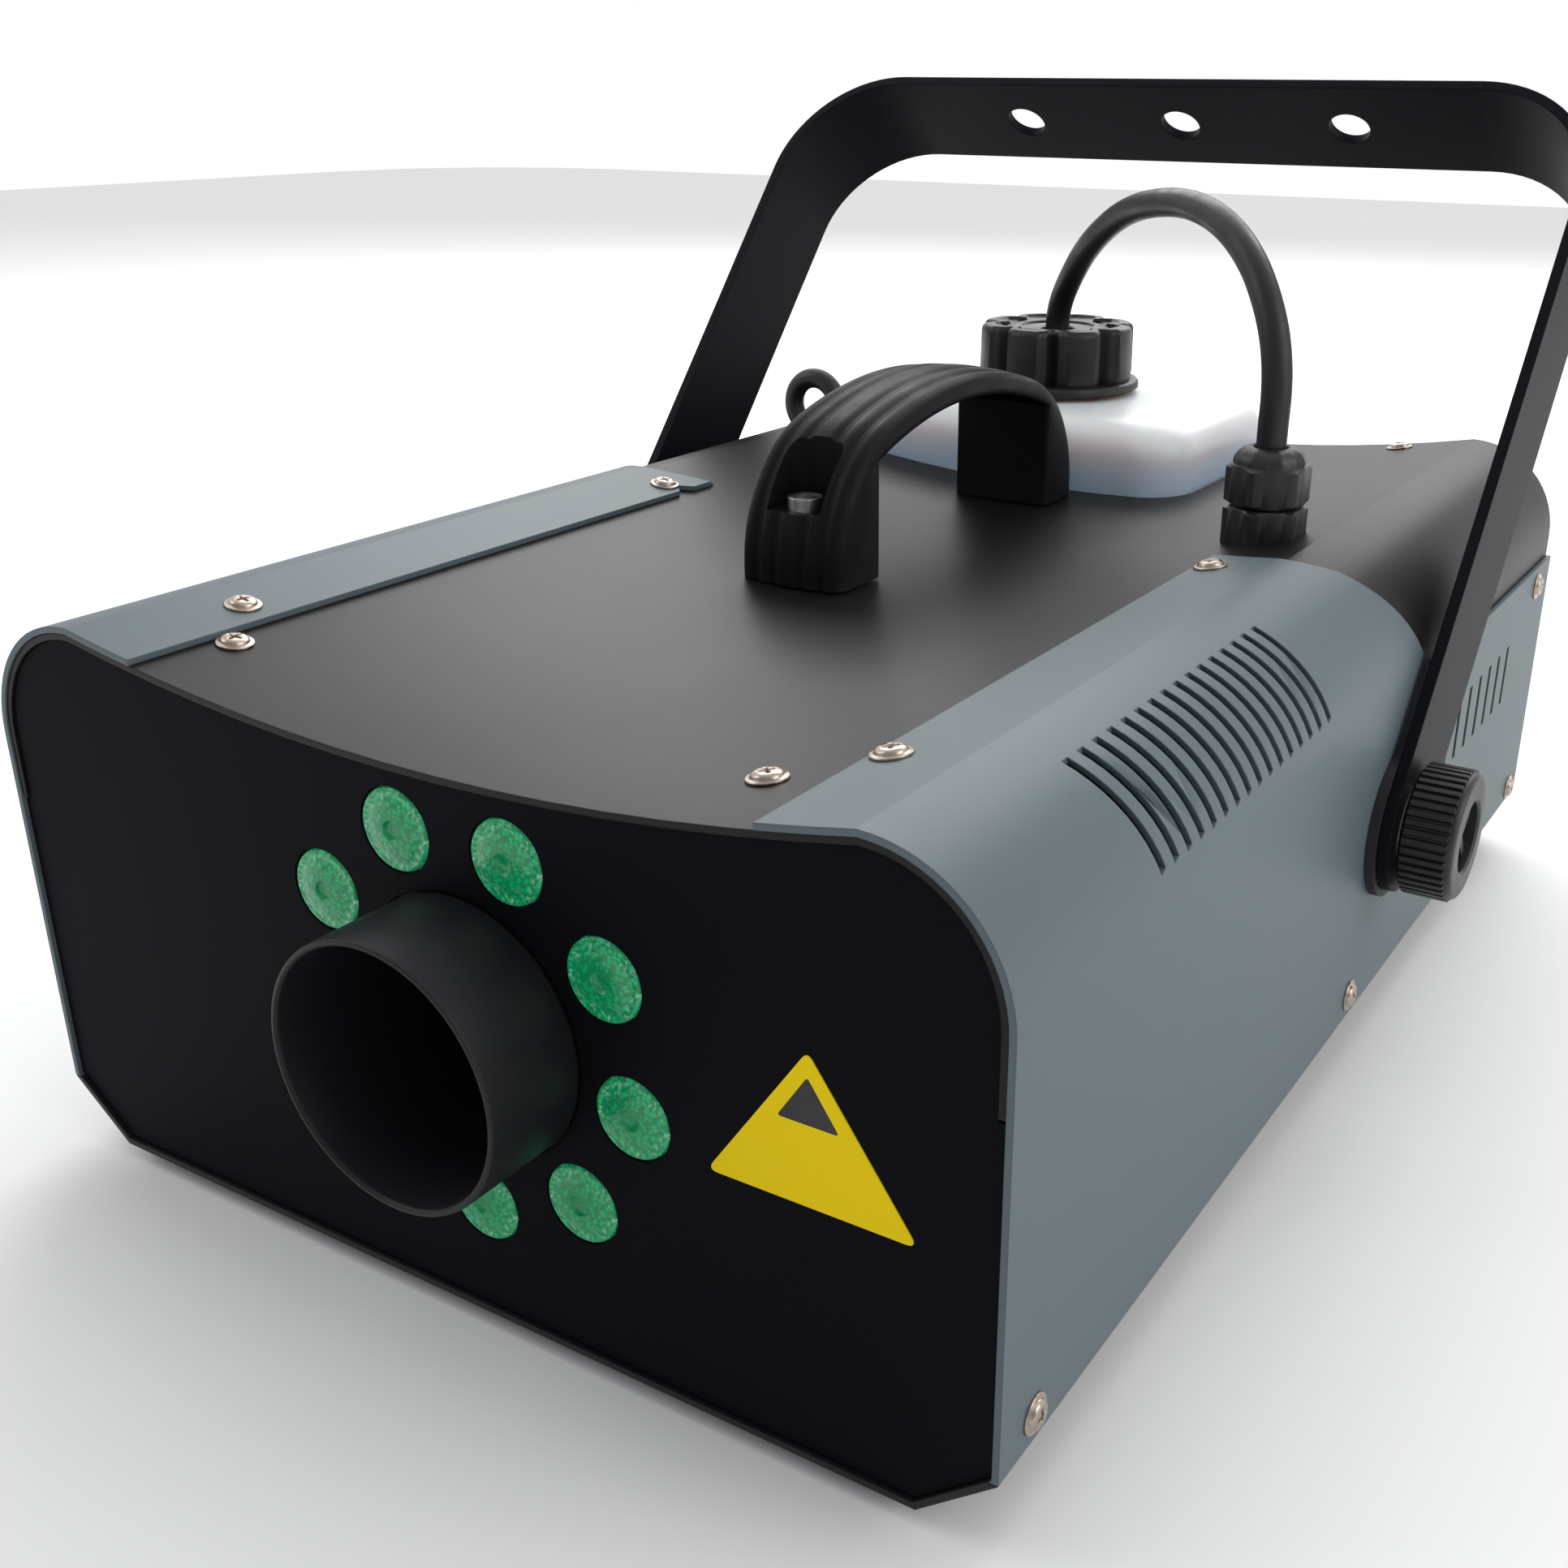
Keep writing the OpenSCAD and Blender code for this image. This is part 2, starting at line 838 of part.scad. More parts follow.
// Side view of the handle: Y from its front foot, Z from the cover
module handle_side_view() {
    crest_r = 140;
    end_r = 37.5;
    foot_l = 21;
    grip = 7;
    reach = crest_r - end_r;
    end_in = handle_l / 2 - end_r;
    end_z = handle_rise - crest_r + sqrt(reach * reach - end_in * end_in);
    meet = end_r - end_r * end_in / reach;
    difference() {
        square([handle_l, handle_rise + 1]);
        // Space above the crest
        difference() {
            translate([meet, 0])
                square([handle_l - 2 * meet, handle_rise + 2]);
            translate([handle_l / 2, handle_rise - crest_r])
                circle(r = crest_r, $fn = 360);
        }
        // Space outside the curve at each end
        for (end = [0, 1])
            translate([end * handle_l, 0])
                mirror([end, 0])
                    difference() {
                        translate([-1, end_z])
                            square([meet + 1, handle_rise]);
                        translate([end_r, end_z])
                            circle(r = end_r, $fn = 120);
                    }
        intersection() {
            translate([foot_l, -1])
                square([handle_l - 2 * foot_l, handle_rise]);
            translate([handle_l / 2, handle_rise - crest_r])
                circle(r = crest_r - grip, $fn = 360);
        }
    }
}

handle_screw_in = 9.5;
handle_screw_y = [handle_y + handle_screw_in, handle_y + handle_l - handle_screw_in];
pocket_h = 18;

module carry_handle() {
    pocket_w = 16.5;
    pocket_l = 18;
    base = handle_z + handle_lift;
    color([0.07, 0.07, 0.07])
        difference() {
            translate([handle_x - handle_w / 2, front_y + handle_y, base])
                rotate([90, 0, 90])
                    linear_extrude(height = handle_w)
                        handle_side_view();
            // Screw pockets in the outer ends
            for (y = [0, handle_l])
                translate([handle_x, front_y + handle_y + y, base + pocket_h])
                    block([-pocket_w / 2, -pocket_l, 0], [pocket_w / 2, pocket_l, handle_rise]);
            for (y = handle_screw_y)
                translate([handle_x, front_y + y, base - 1])
                    cylinder(r = 2.7, h = 20);
        }
}

module handle_screws() {
    color([0.35, 0.35, 0.36])
        for (y = handle_screw_y)
            translate([handle_x, front_y + y, handle_z]) {
                translate([0, 0, handle_lift + pocket_h])
                    cylinder(r = 4.5, h = 3.4);
                translate([0, 0, -9])
                    cylinder(r = 2.4, h = handle_lift + pocket_h + 10);
                translate([0, 0, -6.5])
                    hex(8, 4);
            }
}

module gland_body() {
    color([0.05, 0.05, 0.05])
        difference() {
            union() {
                // Lower hexagon, trimmed to the curve of the cover
                difference() {
                    translate([gland_x, gland_y, gland_seat - 3])
                        hex(gland_af, 11.5);
                    along(gland_y - front_y - gland_af, gland_y - front_y + gland_af)
                        outline(skin - run);
                }
                translate([gland_x, gland_y, gland_seat - 16])
                    cylinder(r = gland_stem_r, h = 32);
            }
            translate([gland_x, gland_y, gland_seat - 20])
                cylinder(r = hose_bore, h = 50);
        }
}

module gland_dome_nut() {
    color([0.05, 0.05, 0.05])
        translate([gland_x, gland_y, gland_seat])
            difference() {
                union() {
                    translate([0, 0, 8.8])
                        hex(gland_af, 11);
                    translate([0, 0, 19.8])
                        cylinder(r1 = 9.6, r2 = 7.2, h = 4.2);
                }
                cylinder(r = gland_stem_r + gap, h = 16.5);
                cylinder(r = hose_bore, h = 30);
            }
}

module gland_locknut() {
    color([0.05, 0.05, 0.05])
        translate([gland_x, gland_y, gland_seat - 13])
            difference() {
                hex(22, 5);
                translate([0, 0, -1])
                    cylinder(r = gland_stem_r + gap, h = 8);
            }
}

module fluid_hose() {
    color([0.04, 0.04, 0.045])
        translate([0, mid_y, 0])
            tube(hose_route, hose_r, 12);
}

module pickup_tube() {
    color([0.75, 0.78, 0.80])
        translate([tank_x, neck_y, 0])
            difference() {
                translate([0, 0, tank_floor + 12])
                    cylinder(r = hose_r, h = hose_route[0][2] - tank_floor - 12);
                translate([0, 0, tank_floor])
                    cylinder(r = 2.6, h = 200);
            }
}

module pickup_filter() {
    color([0.60, 0.62, 0.65])
        translate([tank_x, neck_y, tank_floor + tank_wall + 1])
            difference() {
                cylinder(r = 7, h = 16);
                translate([0, 0, 9])
                    cylinder(r = hose_r, h = 10);
            }
}

// Tank body, shrunk inwards: straight walls below a sloping shoulder
module tank_shape(inset) {
    shoulder = foot_h + tank_top - inset;
    crown = shoulder + 7.5;
    w = tank_w - 2 * inset;
    d = tank_d - 2 * inset;
    r = tank_r - inset;
    translate([tank_x, ty, 0]) {
        translate([0, 0, tank_floor + inset])
            linear_extrude(height = shoulder - tank_floor - inset)
                soft_rect(w, d, r);
        hull() {
            translate([0, 0, shoulder - eps])
                linear_extrude(height = eps)
                    soft_rect(w - 0.2, d - 0.2, r, $fn = 32);
            translate([0, 0, crown - eps])
                linear_extrude(height = eps)
                    soft_rect(w - 40, d - 24, r, $fn = 32);
        }
    }
}

module fluid_tank() {
    color([0.85, 0.90, 0.95, 0.6])
        difference() {
            union() {
                tank_shape(0);
                translate([tank_x, neck_y, foot_h + tank_top])
                    cylinder(r = neck_r, h = neck_top - foot_h - tank_top);
            }
            tank_shape(tank_wall);
            translate([tank_x, neck_y, foot_h + 130])
                cylinder(r = neck_r - tank_wall, h = 60);
        }
}

module cap_seal() {
    color([0.8, 0.3, 0.2])
        translate([tank_x, neck_y, neck_top + gap])
            difference() {
                cylinder(r = neck_r, h = seal_t);
                translate([0, 0, -1])
                    cylinder(r = hose_r + loose, h = 4);
            }
}

module tank_cap() {
    lobe_n = 8;
    lobe_r = 6.5;
    color([0.04, 0.04, 0.045])
        translate([tank_x, neck_y, cap_base])
            difference() {
                union() {
                    cylinder(r = cap_r + 2, h = 3);
                    cylinder(r = cap_r - 3, h = cap_h);
                    for (i = [0 : lobe_n - 1])
                        rotate([0, 0, i * 360 / lobe_n])
                            translate([cap_r - lobe_r, 0, 0])
                                cylinder(r = lobe_r, h = cap_h);
                }
                translate([0, 0, -1])
                    cylinder(r = neck_r + loose, h = neck_top + seal_t + 2 * gap - cap_base + 1);
                cylinder(r = cap_hole_r, h = cap_h + 1);
            }
}

eye_x = -74;
eye_y = front_y + 252;
eye_z = foot_h + 148;

module safety_eye() {
    ring_mid = 8;
    wire = 3;
    seat = foot_h + top_at(eye_x) - skin;
    stem_r = 3.9;
    color([0.05, 0.05, 0.05])
        translate([eye_x, eye_y, 0]) {
            translate([0, 0, eye_z])
                rotate([90, 0, 0])
                    rotate_extrude($fn = 72)
                        translate([ring_mid, 0])
                            circle(r = wire, $fn = 32);
            translate([0, 0, seat + 1])
                cylinder(r = 6.5, h = 3.2);
            translate([0, 0, seat - 14])
                cylinder(r = stem_r, h = eye_z - ring_mid - seat + 14.5);
        }
}

module eye_nut() {
    color([0.6, 0.6, 0.6])
        translate([eye_x, eye_y, foot_h + top_at(eye_x) - lining - 8.5])
            difference() {
                hex(13, 6.5);
                translate([0, 0, -1])
                    cylinder(r = 3.95, h = 10);
            }
}

// ---------------------------------------------------------------- bracket

// Strap outline seen along the strap's width, pivot at the bottom
module strap_outline(w, l, r) {
    translate([-w, -strap_w])
        square([2 * w, l - r + strap_w]);
    translate([r - w, -strap_w])
        square([2 * w - 2 * r, l + strap_w]);
    for (s = [-1, 1])
        translate([s * (w - r), l - r])
            circle(r = r, $fn = 96);
}

module mounting_bracket() {
    reach = bracket_l + strap_t;
    color([0.06, 0.06, 0.065])
        translate([0, py, pz])
            rotate([-lean, 0, 0])
                difference() {
                    intersection() {
                        translate([0, strap_w / 2, 0])
                            rotate([90, 0, 0])
                                linear_extrude(height = strap_w)
                                    difference() {
                                        strap_outline(arm_out, reach, bend_r);
                                        strap_outline(arm_in, bracket_l, bend_r - strap_t);
                                    }
                        union() {
                            along_x(-arm_out - 1, 2 * arm_out + 2, strap_w / 2);
                            block([-arm_out - 1, -strap_w / 2 - 1, 0],
                                [arm_out + 1, strap_w / 2 + 1, reach + 1]);
                        }
                    }
                    along_x(-arm_out - 5, 2 * arm_out + 10, stud_r + 0.3);
                    for (x = [-hang_pitch, 0, hang_pitch])
                        translate([x, 0, bracket_l - 5])
                            cylinder(r = hang_r, h = strap_t + 10);
                }
}

// Put a right-hand pivot piece on either side
module pivot_side(s) {
    translate([0, py, pz])
        mirror([s > 0 ? 0 : 1, 0, 0])
            children();
}

module knob(s) {
    rib_n = 32;
    rib = 1.2;
    web = 2;
    color([0.06, 0.06, 0.06])
        pivot_side(s)
            difference() {
                union() {
                    along_x(knob_in, knob_l, knob_r - rib / 2);
                    for (i = [0 : rib_n - 1])
                        rotate([i * 360 / rib_n, 0, 0])
                            translate([knob_in + 1, knob_r - rib, -0.7])
                                cube([knob_l - 2, rib, 1.4]);
                }
                along_x(knob_in - 1, knob_l - 7, stud_r);
                difference() {
                    along_x(knob_in + knob_l - 6, 10, 9);
                    translate([knob_in + knob_l - 6, -web / 2, -10])
                        cube([4.5, web, 20]);
                }
            }
}

module stud(s) {
    color([0.65, 0.64, 0.62])
        pivot_side(s)
            along_x(stud_in, knob_in + knob_l - 8 - stud_in, stud_r);
}

module washer(s) {
    color([0.60, 0.60, 0.60])
        pivot_side(s)
            difference() {
                along_x(arm_out + 0.02, washer_t - 0.04, 11);
                along_x(arm_out - 1, washer_t + 2, stud_r + run);
            }
}

module left_knob() {
    knob(-1);
}

module right_knob() {
    knob(1);
}

module left_stud() {
    stud(-1);
}

module right_stud() {
    stud(1);
}

module left_washer() {
    washer(-1);
}

module right_washer() {
    washer(1);
}

module friction_pads() {
    color([0.05, 0.05, 0.05])
        for (s = [-1, 1])
            pivot_side(s)
                difference() {
                    along_x(half_w + 0.02, pad_t - 0.07, 20);
                    along_x(half_w - 1, pad_t + 2, stud_r + 0.3);
                }
}

module pivot_nuts() {
    color([0.72, 0.70, 0.55])
        for (s = [-1, 1])
            pivot_side(s)
                difference() {
                    union() {
                        along_x(half_w - skin - 11, 11, 8);
                        along_x(half_w - skin - 5, 5 + skin - gap, stud_r + 2);
                    }
                    along_x(half_w - 20, 30, stud_r + run);
                }
}

// ---------------------------------------------------------------- rear fittings

module power_inlet() {
    color([0.05, 0.05, 0.05])
        at_rear(inlet_at)
            difference() {
                union() {
                    block([-15.5, 0, -13], [15.5, 3, 13]);
                    block([-13.5, -22, -10], [13.5, 0, 10]);
                }
                block([-11.6, -14, -8], [11.6, 4, 8]);
            }
    color([0.75, 0.74, 0.70])
        at_rear(inlet_at)
            for (p = [[-6.5, -2], [0, 2.5], [6.5, -2]])
                block([p[0] - 0.9, -14.5, p[1] - 2], [p[0] + 0.9, -3, p[1] + 2]);
}

module fuse_cap() {
    color([0.05, 0.05, 0.05])
        at_rear(fuse_at)
            difference() {
                union() {
                    along_y(0.3, 2, 8.5);
                    along_y(-12, 18, 6);
                }
                translate([-4, 4.2, -0.6])
                    cube([8, 4, 1.2]);
            }
}

module power_switch() {
    color([0.05, 0.05, 0.05])
        at_rear(switch_at)
            difference() {
                union() {
                    block([-7.5, 0, -10.8], [7.5, 1.8, 10.8]);
                    block([-6.3, -20, -9.6], [6.3, 0, 9.6]);
                }
                block([-5, -9, -8.6], [5, 3, 8.6]);
                along_x(-5.9, 11.8, pin_r + run);
            }
}

module power_rocker() {
    rock = 9;
    color([0.75, 0.08, 0.06])
        at_rear(switch_at)
            rotate([rock, 0, 0]) {
                difference() {
                    block([-4.6, -3.5, -7.2], [4.6, 2.2, 7.2]);
                    translate([0, 13.7, 0])
                        along_x(-6, 12, 13.2);
                }
                along_x(-5.8, 11.6, pin_r);
            }
}

module remote_socket() {
    color([0.45, 0.45, 0.46])
        at_rear(remote_at)
            difference() {
                union() {
                    along_y(0, 2.2, 10.5);
                    along_y(-16, 16, 8);
                }
                along_y(-10, 14, 6.6);
            }
    color([0.75, 0.70, 0.45])
        at_rear(remote_at)
            for (a = [0, 45, 90, 135, 180])
                rotate([0, -a, 0])
                    translate([3.6, 0, 0])
                        along_y(-10.5, 8, 0.6);
}

module fog_button() {
    color([0.70, 0.10, 0.08])
        at_rear(button_at) {
            along_y(-7, 10.5, button_r);
            along_y(-7, 2, button_r + 0.9);
        }
}

module button_housing() {
    color([0.05, 0.05, 0.05])
        at_rear(button_at)
            difference() {
                union() {
                    along_y(0, 1.6, housing_r + 2);
                    along_y(-16, 16, housing_r);
                }
                along_y(-13, 16, button_r + loose);
                along_y(-13, 8.5, button_r + 0.9 + loose);
            }
}

// ---------------------------------------------------------------- nodes

base_tray();
front_panel();
rear_panel();
top_cover();
left_side_cover();
right_side_cover();
tank_bay();
cover_screws();
rubber_feet();
foot_screws();
front_label();
nozzle_tube();
heater_nozzle();
led_lenses();
lens_holders();
led_board();
led_emitters();
heater_block();
heater_shroud();
heater_brackets();
heater_element();
thermostats();
pump_body();
pump_bracket();
pump_dampers();
suction_hose();
pressure_pipe();
control_board();
board_standoffs();
board_relays();
transformer();
carry_handle();
handle_screws();
gland_body();
gland_dome_nut();
gland_locknut();
fluid_hose();
pickup_tube();
pickup_filter();
fluid_tank();
cap_seal();
tank_cap();
safety_eye();
eye_nut();
mounting_bracket();
left_knob();
right_knob();
left_stud();
right_stud();
left_washer();
right_washer();
friction_pads();
pivot_nuts();
power_inlet();
fuse_cap();
power_switch();
power_rocker();
remote_socket();
fog_button();
button_housing();
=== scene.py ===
"""Fog machine: detailed pieces, procedural finishes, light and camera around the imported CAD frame."""
import math

import bmesh
import bpy
from mathutils import Matrix, Vector


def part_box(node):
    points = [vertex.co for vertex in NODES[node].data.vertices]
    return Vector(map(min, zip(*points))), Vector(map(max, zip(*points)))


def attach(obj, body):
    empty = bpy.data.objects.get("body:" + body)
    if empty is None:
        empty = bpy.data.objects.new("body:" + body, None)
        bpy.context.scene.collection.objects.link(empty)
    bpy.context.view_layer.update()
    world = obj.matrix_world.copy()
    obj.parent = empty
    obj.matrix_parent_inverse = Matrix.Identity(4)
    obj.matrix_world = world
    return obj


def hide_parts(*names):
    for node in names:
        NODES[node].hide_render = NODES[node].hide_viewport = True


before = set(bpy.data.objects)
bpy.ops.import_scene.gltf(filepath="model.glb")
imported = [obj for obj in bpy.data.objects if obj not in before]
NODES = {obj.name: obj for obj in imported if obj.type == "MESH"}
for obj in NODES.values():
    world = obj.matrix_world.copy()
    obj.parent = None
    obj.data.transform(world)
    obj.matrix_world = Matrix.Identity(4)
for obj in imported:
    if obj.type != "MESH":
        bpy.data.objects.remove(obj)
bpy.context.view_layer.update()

MM = 0.001
FRONT_Y = -184 * MM  # front edge of the housing
FOOT_H = 4 * MM
PANEL_Y = FRONT_Y + 1 * MM  # face of the front panel
HALF_W = 130 * MM
CREST_X = 100 * MM
BODY_H = 135 * MM
SHEET = 1.5 * MM
DISH_D = 9.8 * MM
DISH_R = (CREST_X**2 + DISH_D**2) / (2 * DISH_D)
NOZZLE = Vector((8 * MM, FRONT_Y, 74 * MM))
PIVOT = Vector((0, 31.5 * MM, 68.4 * MM))


# ---------------------------------------------------------------- camera

def add_camera():
    """Camera close to the front right corner, as in the photograph."""
    data = bpy.data.cameras.new("camera")
    data.sensor_width = 36
    data.lens = 39.78
    data.shift_x = -0.059
    data.shift_y = 0.0228
    data.clip_start = 0.01
    camera = bpy.data.objects.new("camera", data)
    bpy.context.scene.collection.objects.link(camera)
    right = Vector((0.8515, 0.5243, 0.0045)).normalized()
    back = Vector((0.4797, -0.7825, 0.3970)).normalized()
    up = back.cross(right).normalized()
    right = up.cross(back)
    camera.matrix_world = Matrix.Translation((0.2341, FRONT_Y - 0.2123, FOOT_H + 0.2452)) @ Matrix(
        (right, up, back)
    ).transposed().to_4x4()
    bpy.context.scene.camera = camera


add_camera()


# ---------------------------------------------------------------- materials

class Surface:
    """Node material with a Principled shader and short ways to add texture to it."""

    def __init__(self, name, **sockets):
        self.material = bpy.data.materials.new(name)
        self.material.use_nodes = True
        self.tree = self.material.node_tree
        self.shader = self.tree.nodes["Principled BSDF"]
        self.coords = self.node("ShaderNodeTexCoord").outputs["Object"]
        self.height = None
        for key, value in sockets.items():
            self.shader.inputs[key.replace("_", " ")].default_value = value

    def node(self, kind, **settings):
        made = self.tree.nodes.new(kind)
        for key, value in settings.items():
            setattr(made, key, value)
        return made

    def link(self, source, target):
        self.tree.links.new(source, target)

    def noise(self, scale, detail=3.0, roughness=0.55, stretch=None):
        made = self.node("ShaderNodeTexNoise")
        made.inputs["Scale"].default_value = scale
        made.inputs["Detail"].default_value = detail
        made.inputs["Roughness"].default_value = roughness
        source = self.coords
        if stretch:
            mapping = self.node("ShaderNodeMapping")
            mapping.inputs["Scale"].default_value = stretch
            self.link(source, mapping.inputs["Vector"])
            source = mapping.outputs["Vector"]
        self.link(source, made.inputs["Vector"])
        return made.outputs["Fac"]

    def cells(self, scale, feature="F1"):
        made = self.node("ShaderNodeTexVoronoi", feature=feature)
        made.inputs["Scale"].default_value = scale
        self.link(self.coords, made.inputs["Vector"])
        return made.outputs["Distance"]

    def ramp(self, source, stops):
        """Colour ramp: stops are (position, value or colour)."""
        made = self.node("ShaderNodeValToRGB")
        elements = made.color_ramp.elements
        while len(elements) < len(stops):
            elements.new(0.5)
        for element, (position, colour) in zip(elements, stops):
            element.position = position
            if not hasattr(colour, "__len__"):
                colour = (colour, colour, colour)
            element.color = (*colour[:3], 1)
        self.link(source, made.inputs["Fac"])
        return made.outputs["Color"]

    def mix(self, fac, low, high):
        """Colour mix of two colours or outputs."""
        made = self.node("ShaderNodeMix", data_type="RGBA")
        for socket, value in ((made.inputs[0], fac), (made.inputs[6], low), (made.inputs[7], high)):
            if isinstance(value, bpy.types.NodeSocket):
                self.link(value, socket)
            elif hasattr(value, "__len__"):
                socket.default_value = (*value[:3], 1)
            else:
                socket.default_value = value
        return made.outputs[2]

    def math(self, operation, a, b=0.0, c=0.0):
        made = self.node("ShaderNodeMath", operation=operation)
        for socket, value in zip(made.inputs, (a, b, c)):
            if isinstance(value, bpy.types.NodeSocket):
                self.link(value, socket)
            else:
                socket.default_value = value
        return made.outputs[0]

    def colour(self, source):
        self.link(source, self.shader.inputs["Base Color"])

    def roughness(self, source):
        self.link(source, self.shader.inputs["Roughness"])

    def bump(self, source, strength, distance):
        """Adds one layer of bump on top of the earlier ones."""
        made = self.node("ShaderNodeBump")
        made.inputs["Strength"].default_value = strength
        made.inputs["Distance"].default_value = distance
        self.link(source, made.inputs["Height"])
        if self.height:
            self.link(self.height, made.inputs["Normal"])
        self.height = made.outputs["Normal"]
        self.link(self.height, self.shader.inputs["Normal"])

    def soft_edges(self, radius):
        """Rounds the shading at sharp sheet edges."""
        made = self.node("ShaderNodeBevel")
        made.samples = 4
        made.inputs["Radius"].default_value = radius
        self.height = made.outputs["Normal"]
        self.link(self.height, self.shader.inputs["Normal"])

    def worn_edges(self, base, worn, amount=0.5):
        """Colour that pales on convex edges, broken up by noise."""
        geometry = self.node("ShaderNodeNewGeometry")
        edge = self.ramp(geometry.outputs["Pointiness"], [(0.505, 0), (0.56, 1)])
        patch = self.ramp(self.noise(160, 4), [(0.42, 0), (0.62, 1)])
        return self.mix(self.math("MULTIPLY", self.math("MULTIPLY", edge, patch), amount), base, worn)


def shade(colour, factor):
    return tuple(c * factor for c in colour)


def powder_coat(name, colour, rough=0.42, grain=0.03, spread=0.12, edges=0.5 * MM, orange=0.25, shine=0.5):
    """Baked powder coat: fine orange peel, speckle and a slow change of tone."""
    made = Surface(name, Roughness=rough, Specular_IOR_Level=shine)
    made.soft_edges(edges)
    tone = made.mix(made.noise(9, 4), shade(colour, 1 - spread), shade(colour, 1 + spread))
    speck = made.ramp(made.noise(1900, 2), [(0.38, 0), (0.66, 1)])
    made.colour(made.mix(made.math("MULTIPLY", speck, 0.12), tone, shade(colour, 1.3)))
    made.roughness(made.ramp(made.noise(34, 5), [(0.3, rough - 0.006), (0.7, rough + 0.006)]))
    made.bump(made.noise(900, 1), orange * 0.5, grain * MM)
    made.bump(made.noise(2300, 1), orange * 0.8, grain * MM)
    return made.material


def moulded(name, colour, rough=0.45, grain=0.05, scale=1500, edges=None, shine=0.45):
    """Injection moulding: spark-eroded grain with faint flow marks."""
    made = Surface(name, Roughness=rough, Specular_IOR_Level=shine)
    if edges:
        made.soft_edges(edges)
    tone = made.mix(made.noise(26, 3), shade(colour, 0.8), shade(colour, 1.25))
    made.colour(made.worn_edges(tone, shade(colour, 2.4), 0.35))
    made.roughness(made.ramp(made.noise(70, 4), [(0.3, rough - 0.07), (0.7, rough + 0.08)]))
    made.bump(made.cells(scale), 0.35, grain * MM)
    made.bump(made.noise(180, 3), 0.15, grain * MM)
    return made.material


def metal(name, colour, rough=0.3, stretch=(1, 1, 12), scale=260, edges=0.3 * MM):
    """Plated or drawn metal with fine marks along one direction."""
    made = Surface(name, Metallic=1.0, Roughness=rough)
    made.soft_edges(edges)
    streak = made.noise(scale, 4, stretch=stretch)
    tone = made.mix(streak, shade(colour, 0.78), shade(colour, 1.12))
    spots = made.ramp(made.noise(90, 5), [(0.55, 0), (0.75, 1)])
    made.colour(made.mix(made.math("MULTIPLY", spots, 0.35), tone, shade(colour, 0.45)))
    made.roughness(made.ramp(streak, [(0.3, rough - 0.08), (0.7, rough + 0.12)]))
    made.bump(streak, 0.12, 0.02 * MM)
    return made.material


def rubber(name, colour, rough=0.6):
    made = Surface(name, Roughness=rough, Specular_IOR_Level=0.4)
    made.colour(made.mix(made.noise(60, 4), shade(colour, 0.75), shade(colour, 1.4)))
    made.roughness(made.ramp(made.noise(110, 4), [(0.3, rough - 0.1), (0.7, rough + 0.1)]))
    made.bump(made.noise(1300, 2), 0.25, 0.04 * MM)
    return made.material


BLACK = (0.0075, 0.0080, 0.0105)
SLATE = (0.092, 0.122, 0.136)

BLACK_COAT = powder_coat("black_powder_coat", BLACK, rough=0.47, shine=0.3)
PANEL_COAT = powder_coat("panel_powder_coat", (0.0045, 0.0048, 0.0065), rough=0.5, shine=0.03)
TOP_COAT = powder_coat("black_top_coat", (0.0085, 0.0080, 0.0080), rough=0.40, orange=0.35, shine=0.18)
SLATE_COAT = powder_coat("slate_powder_coat", SLATE, rough=0.46, spread=0.01, orange=0.15, shine=0.30)
BRACKET_COAT = powder_coat("bracket_powder_coat", (0.0060, 0.0064, 0.0090), rough=0.46, grain=0.06, shine=0.06,
                           edges=0.7 * MM, orange=0.4)
BLACK_PLASTIC = moulded("black_plastic", (0.012, 0.012, 0.013), rough=0.42)
HANDLE_PLASTIC = moulded("handle_plastic", (0.008, 0.008, 0.009), rough=0.44, scale=2100, shine=0.09)
FITTING_PLASTIC = moulded("fitting_plastic", (0.014, 0.014, 0.015), rough=0.38, edges=0.4 * MM)
RED_PLASTIC = moulded("red_plastic", (0.42, 0.02, 0.012), rough=0.25, grain=0.02, edges=0.3 * MM)
NICKEL = metal("screw_nickel", (0.47, 0.39, 0.33), rough=0.24, stretch=(1, 1, 1), scale=420)
ZINC = metal("zinc_plate", (0.58, 0.58, 0.56), rough=0.32)
BRASS = metal("brass", (0.62, 0.43, 0.19), rough=0.28)
ALUMINIUM = metal("aluminium", (0.63, 0.64, 0.65), rough=0.4)
RUBBER = rubber("black_rubber", (0.014, 0.014, 0.014))
HOSE_RUBBER = rubber("hose_rubber", (0.0095, 0.0095, 0.0105), rough=0.42)
SEAL_RUBBER = rubber("seal_rubber", (0.40, 0.07, 0.04))
BOARD_GREEN = moulded("board_green", (0.015, 0.12, 0.05), rough=0.35)
BOARD_WHITE = moulded("board_white", (0.62, 0.64, 0.62), rough=0.4)
RELAY_BLUE = moulded("relay_blue", (0.03, 0.07, 0.25), rough=0.3)
VARNISH = moulded("varnished_steel", (0.09, 0.09, 0.10), rough=0.35)


def label_finish():
    """Printed film: a yellow field with a slow change of tone and a fine grain."""
    made = Surface("label_film", Roughness=0.45, Specular_IOR_Level=0.12)
    made.colour(made.mix(made.noise(30, 3), (0.84, 0.60, 0.000), (0.90, 0.66, 0.000)))
    made.bump(made.noise(900, 2), 0.08, 0.02 * MM)
    return made.material


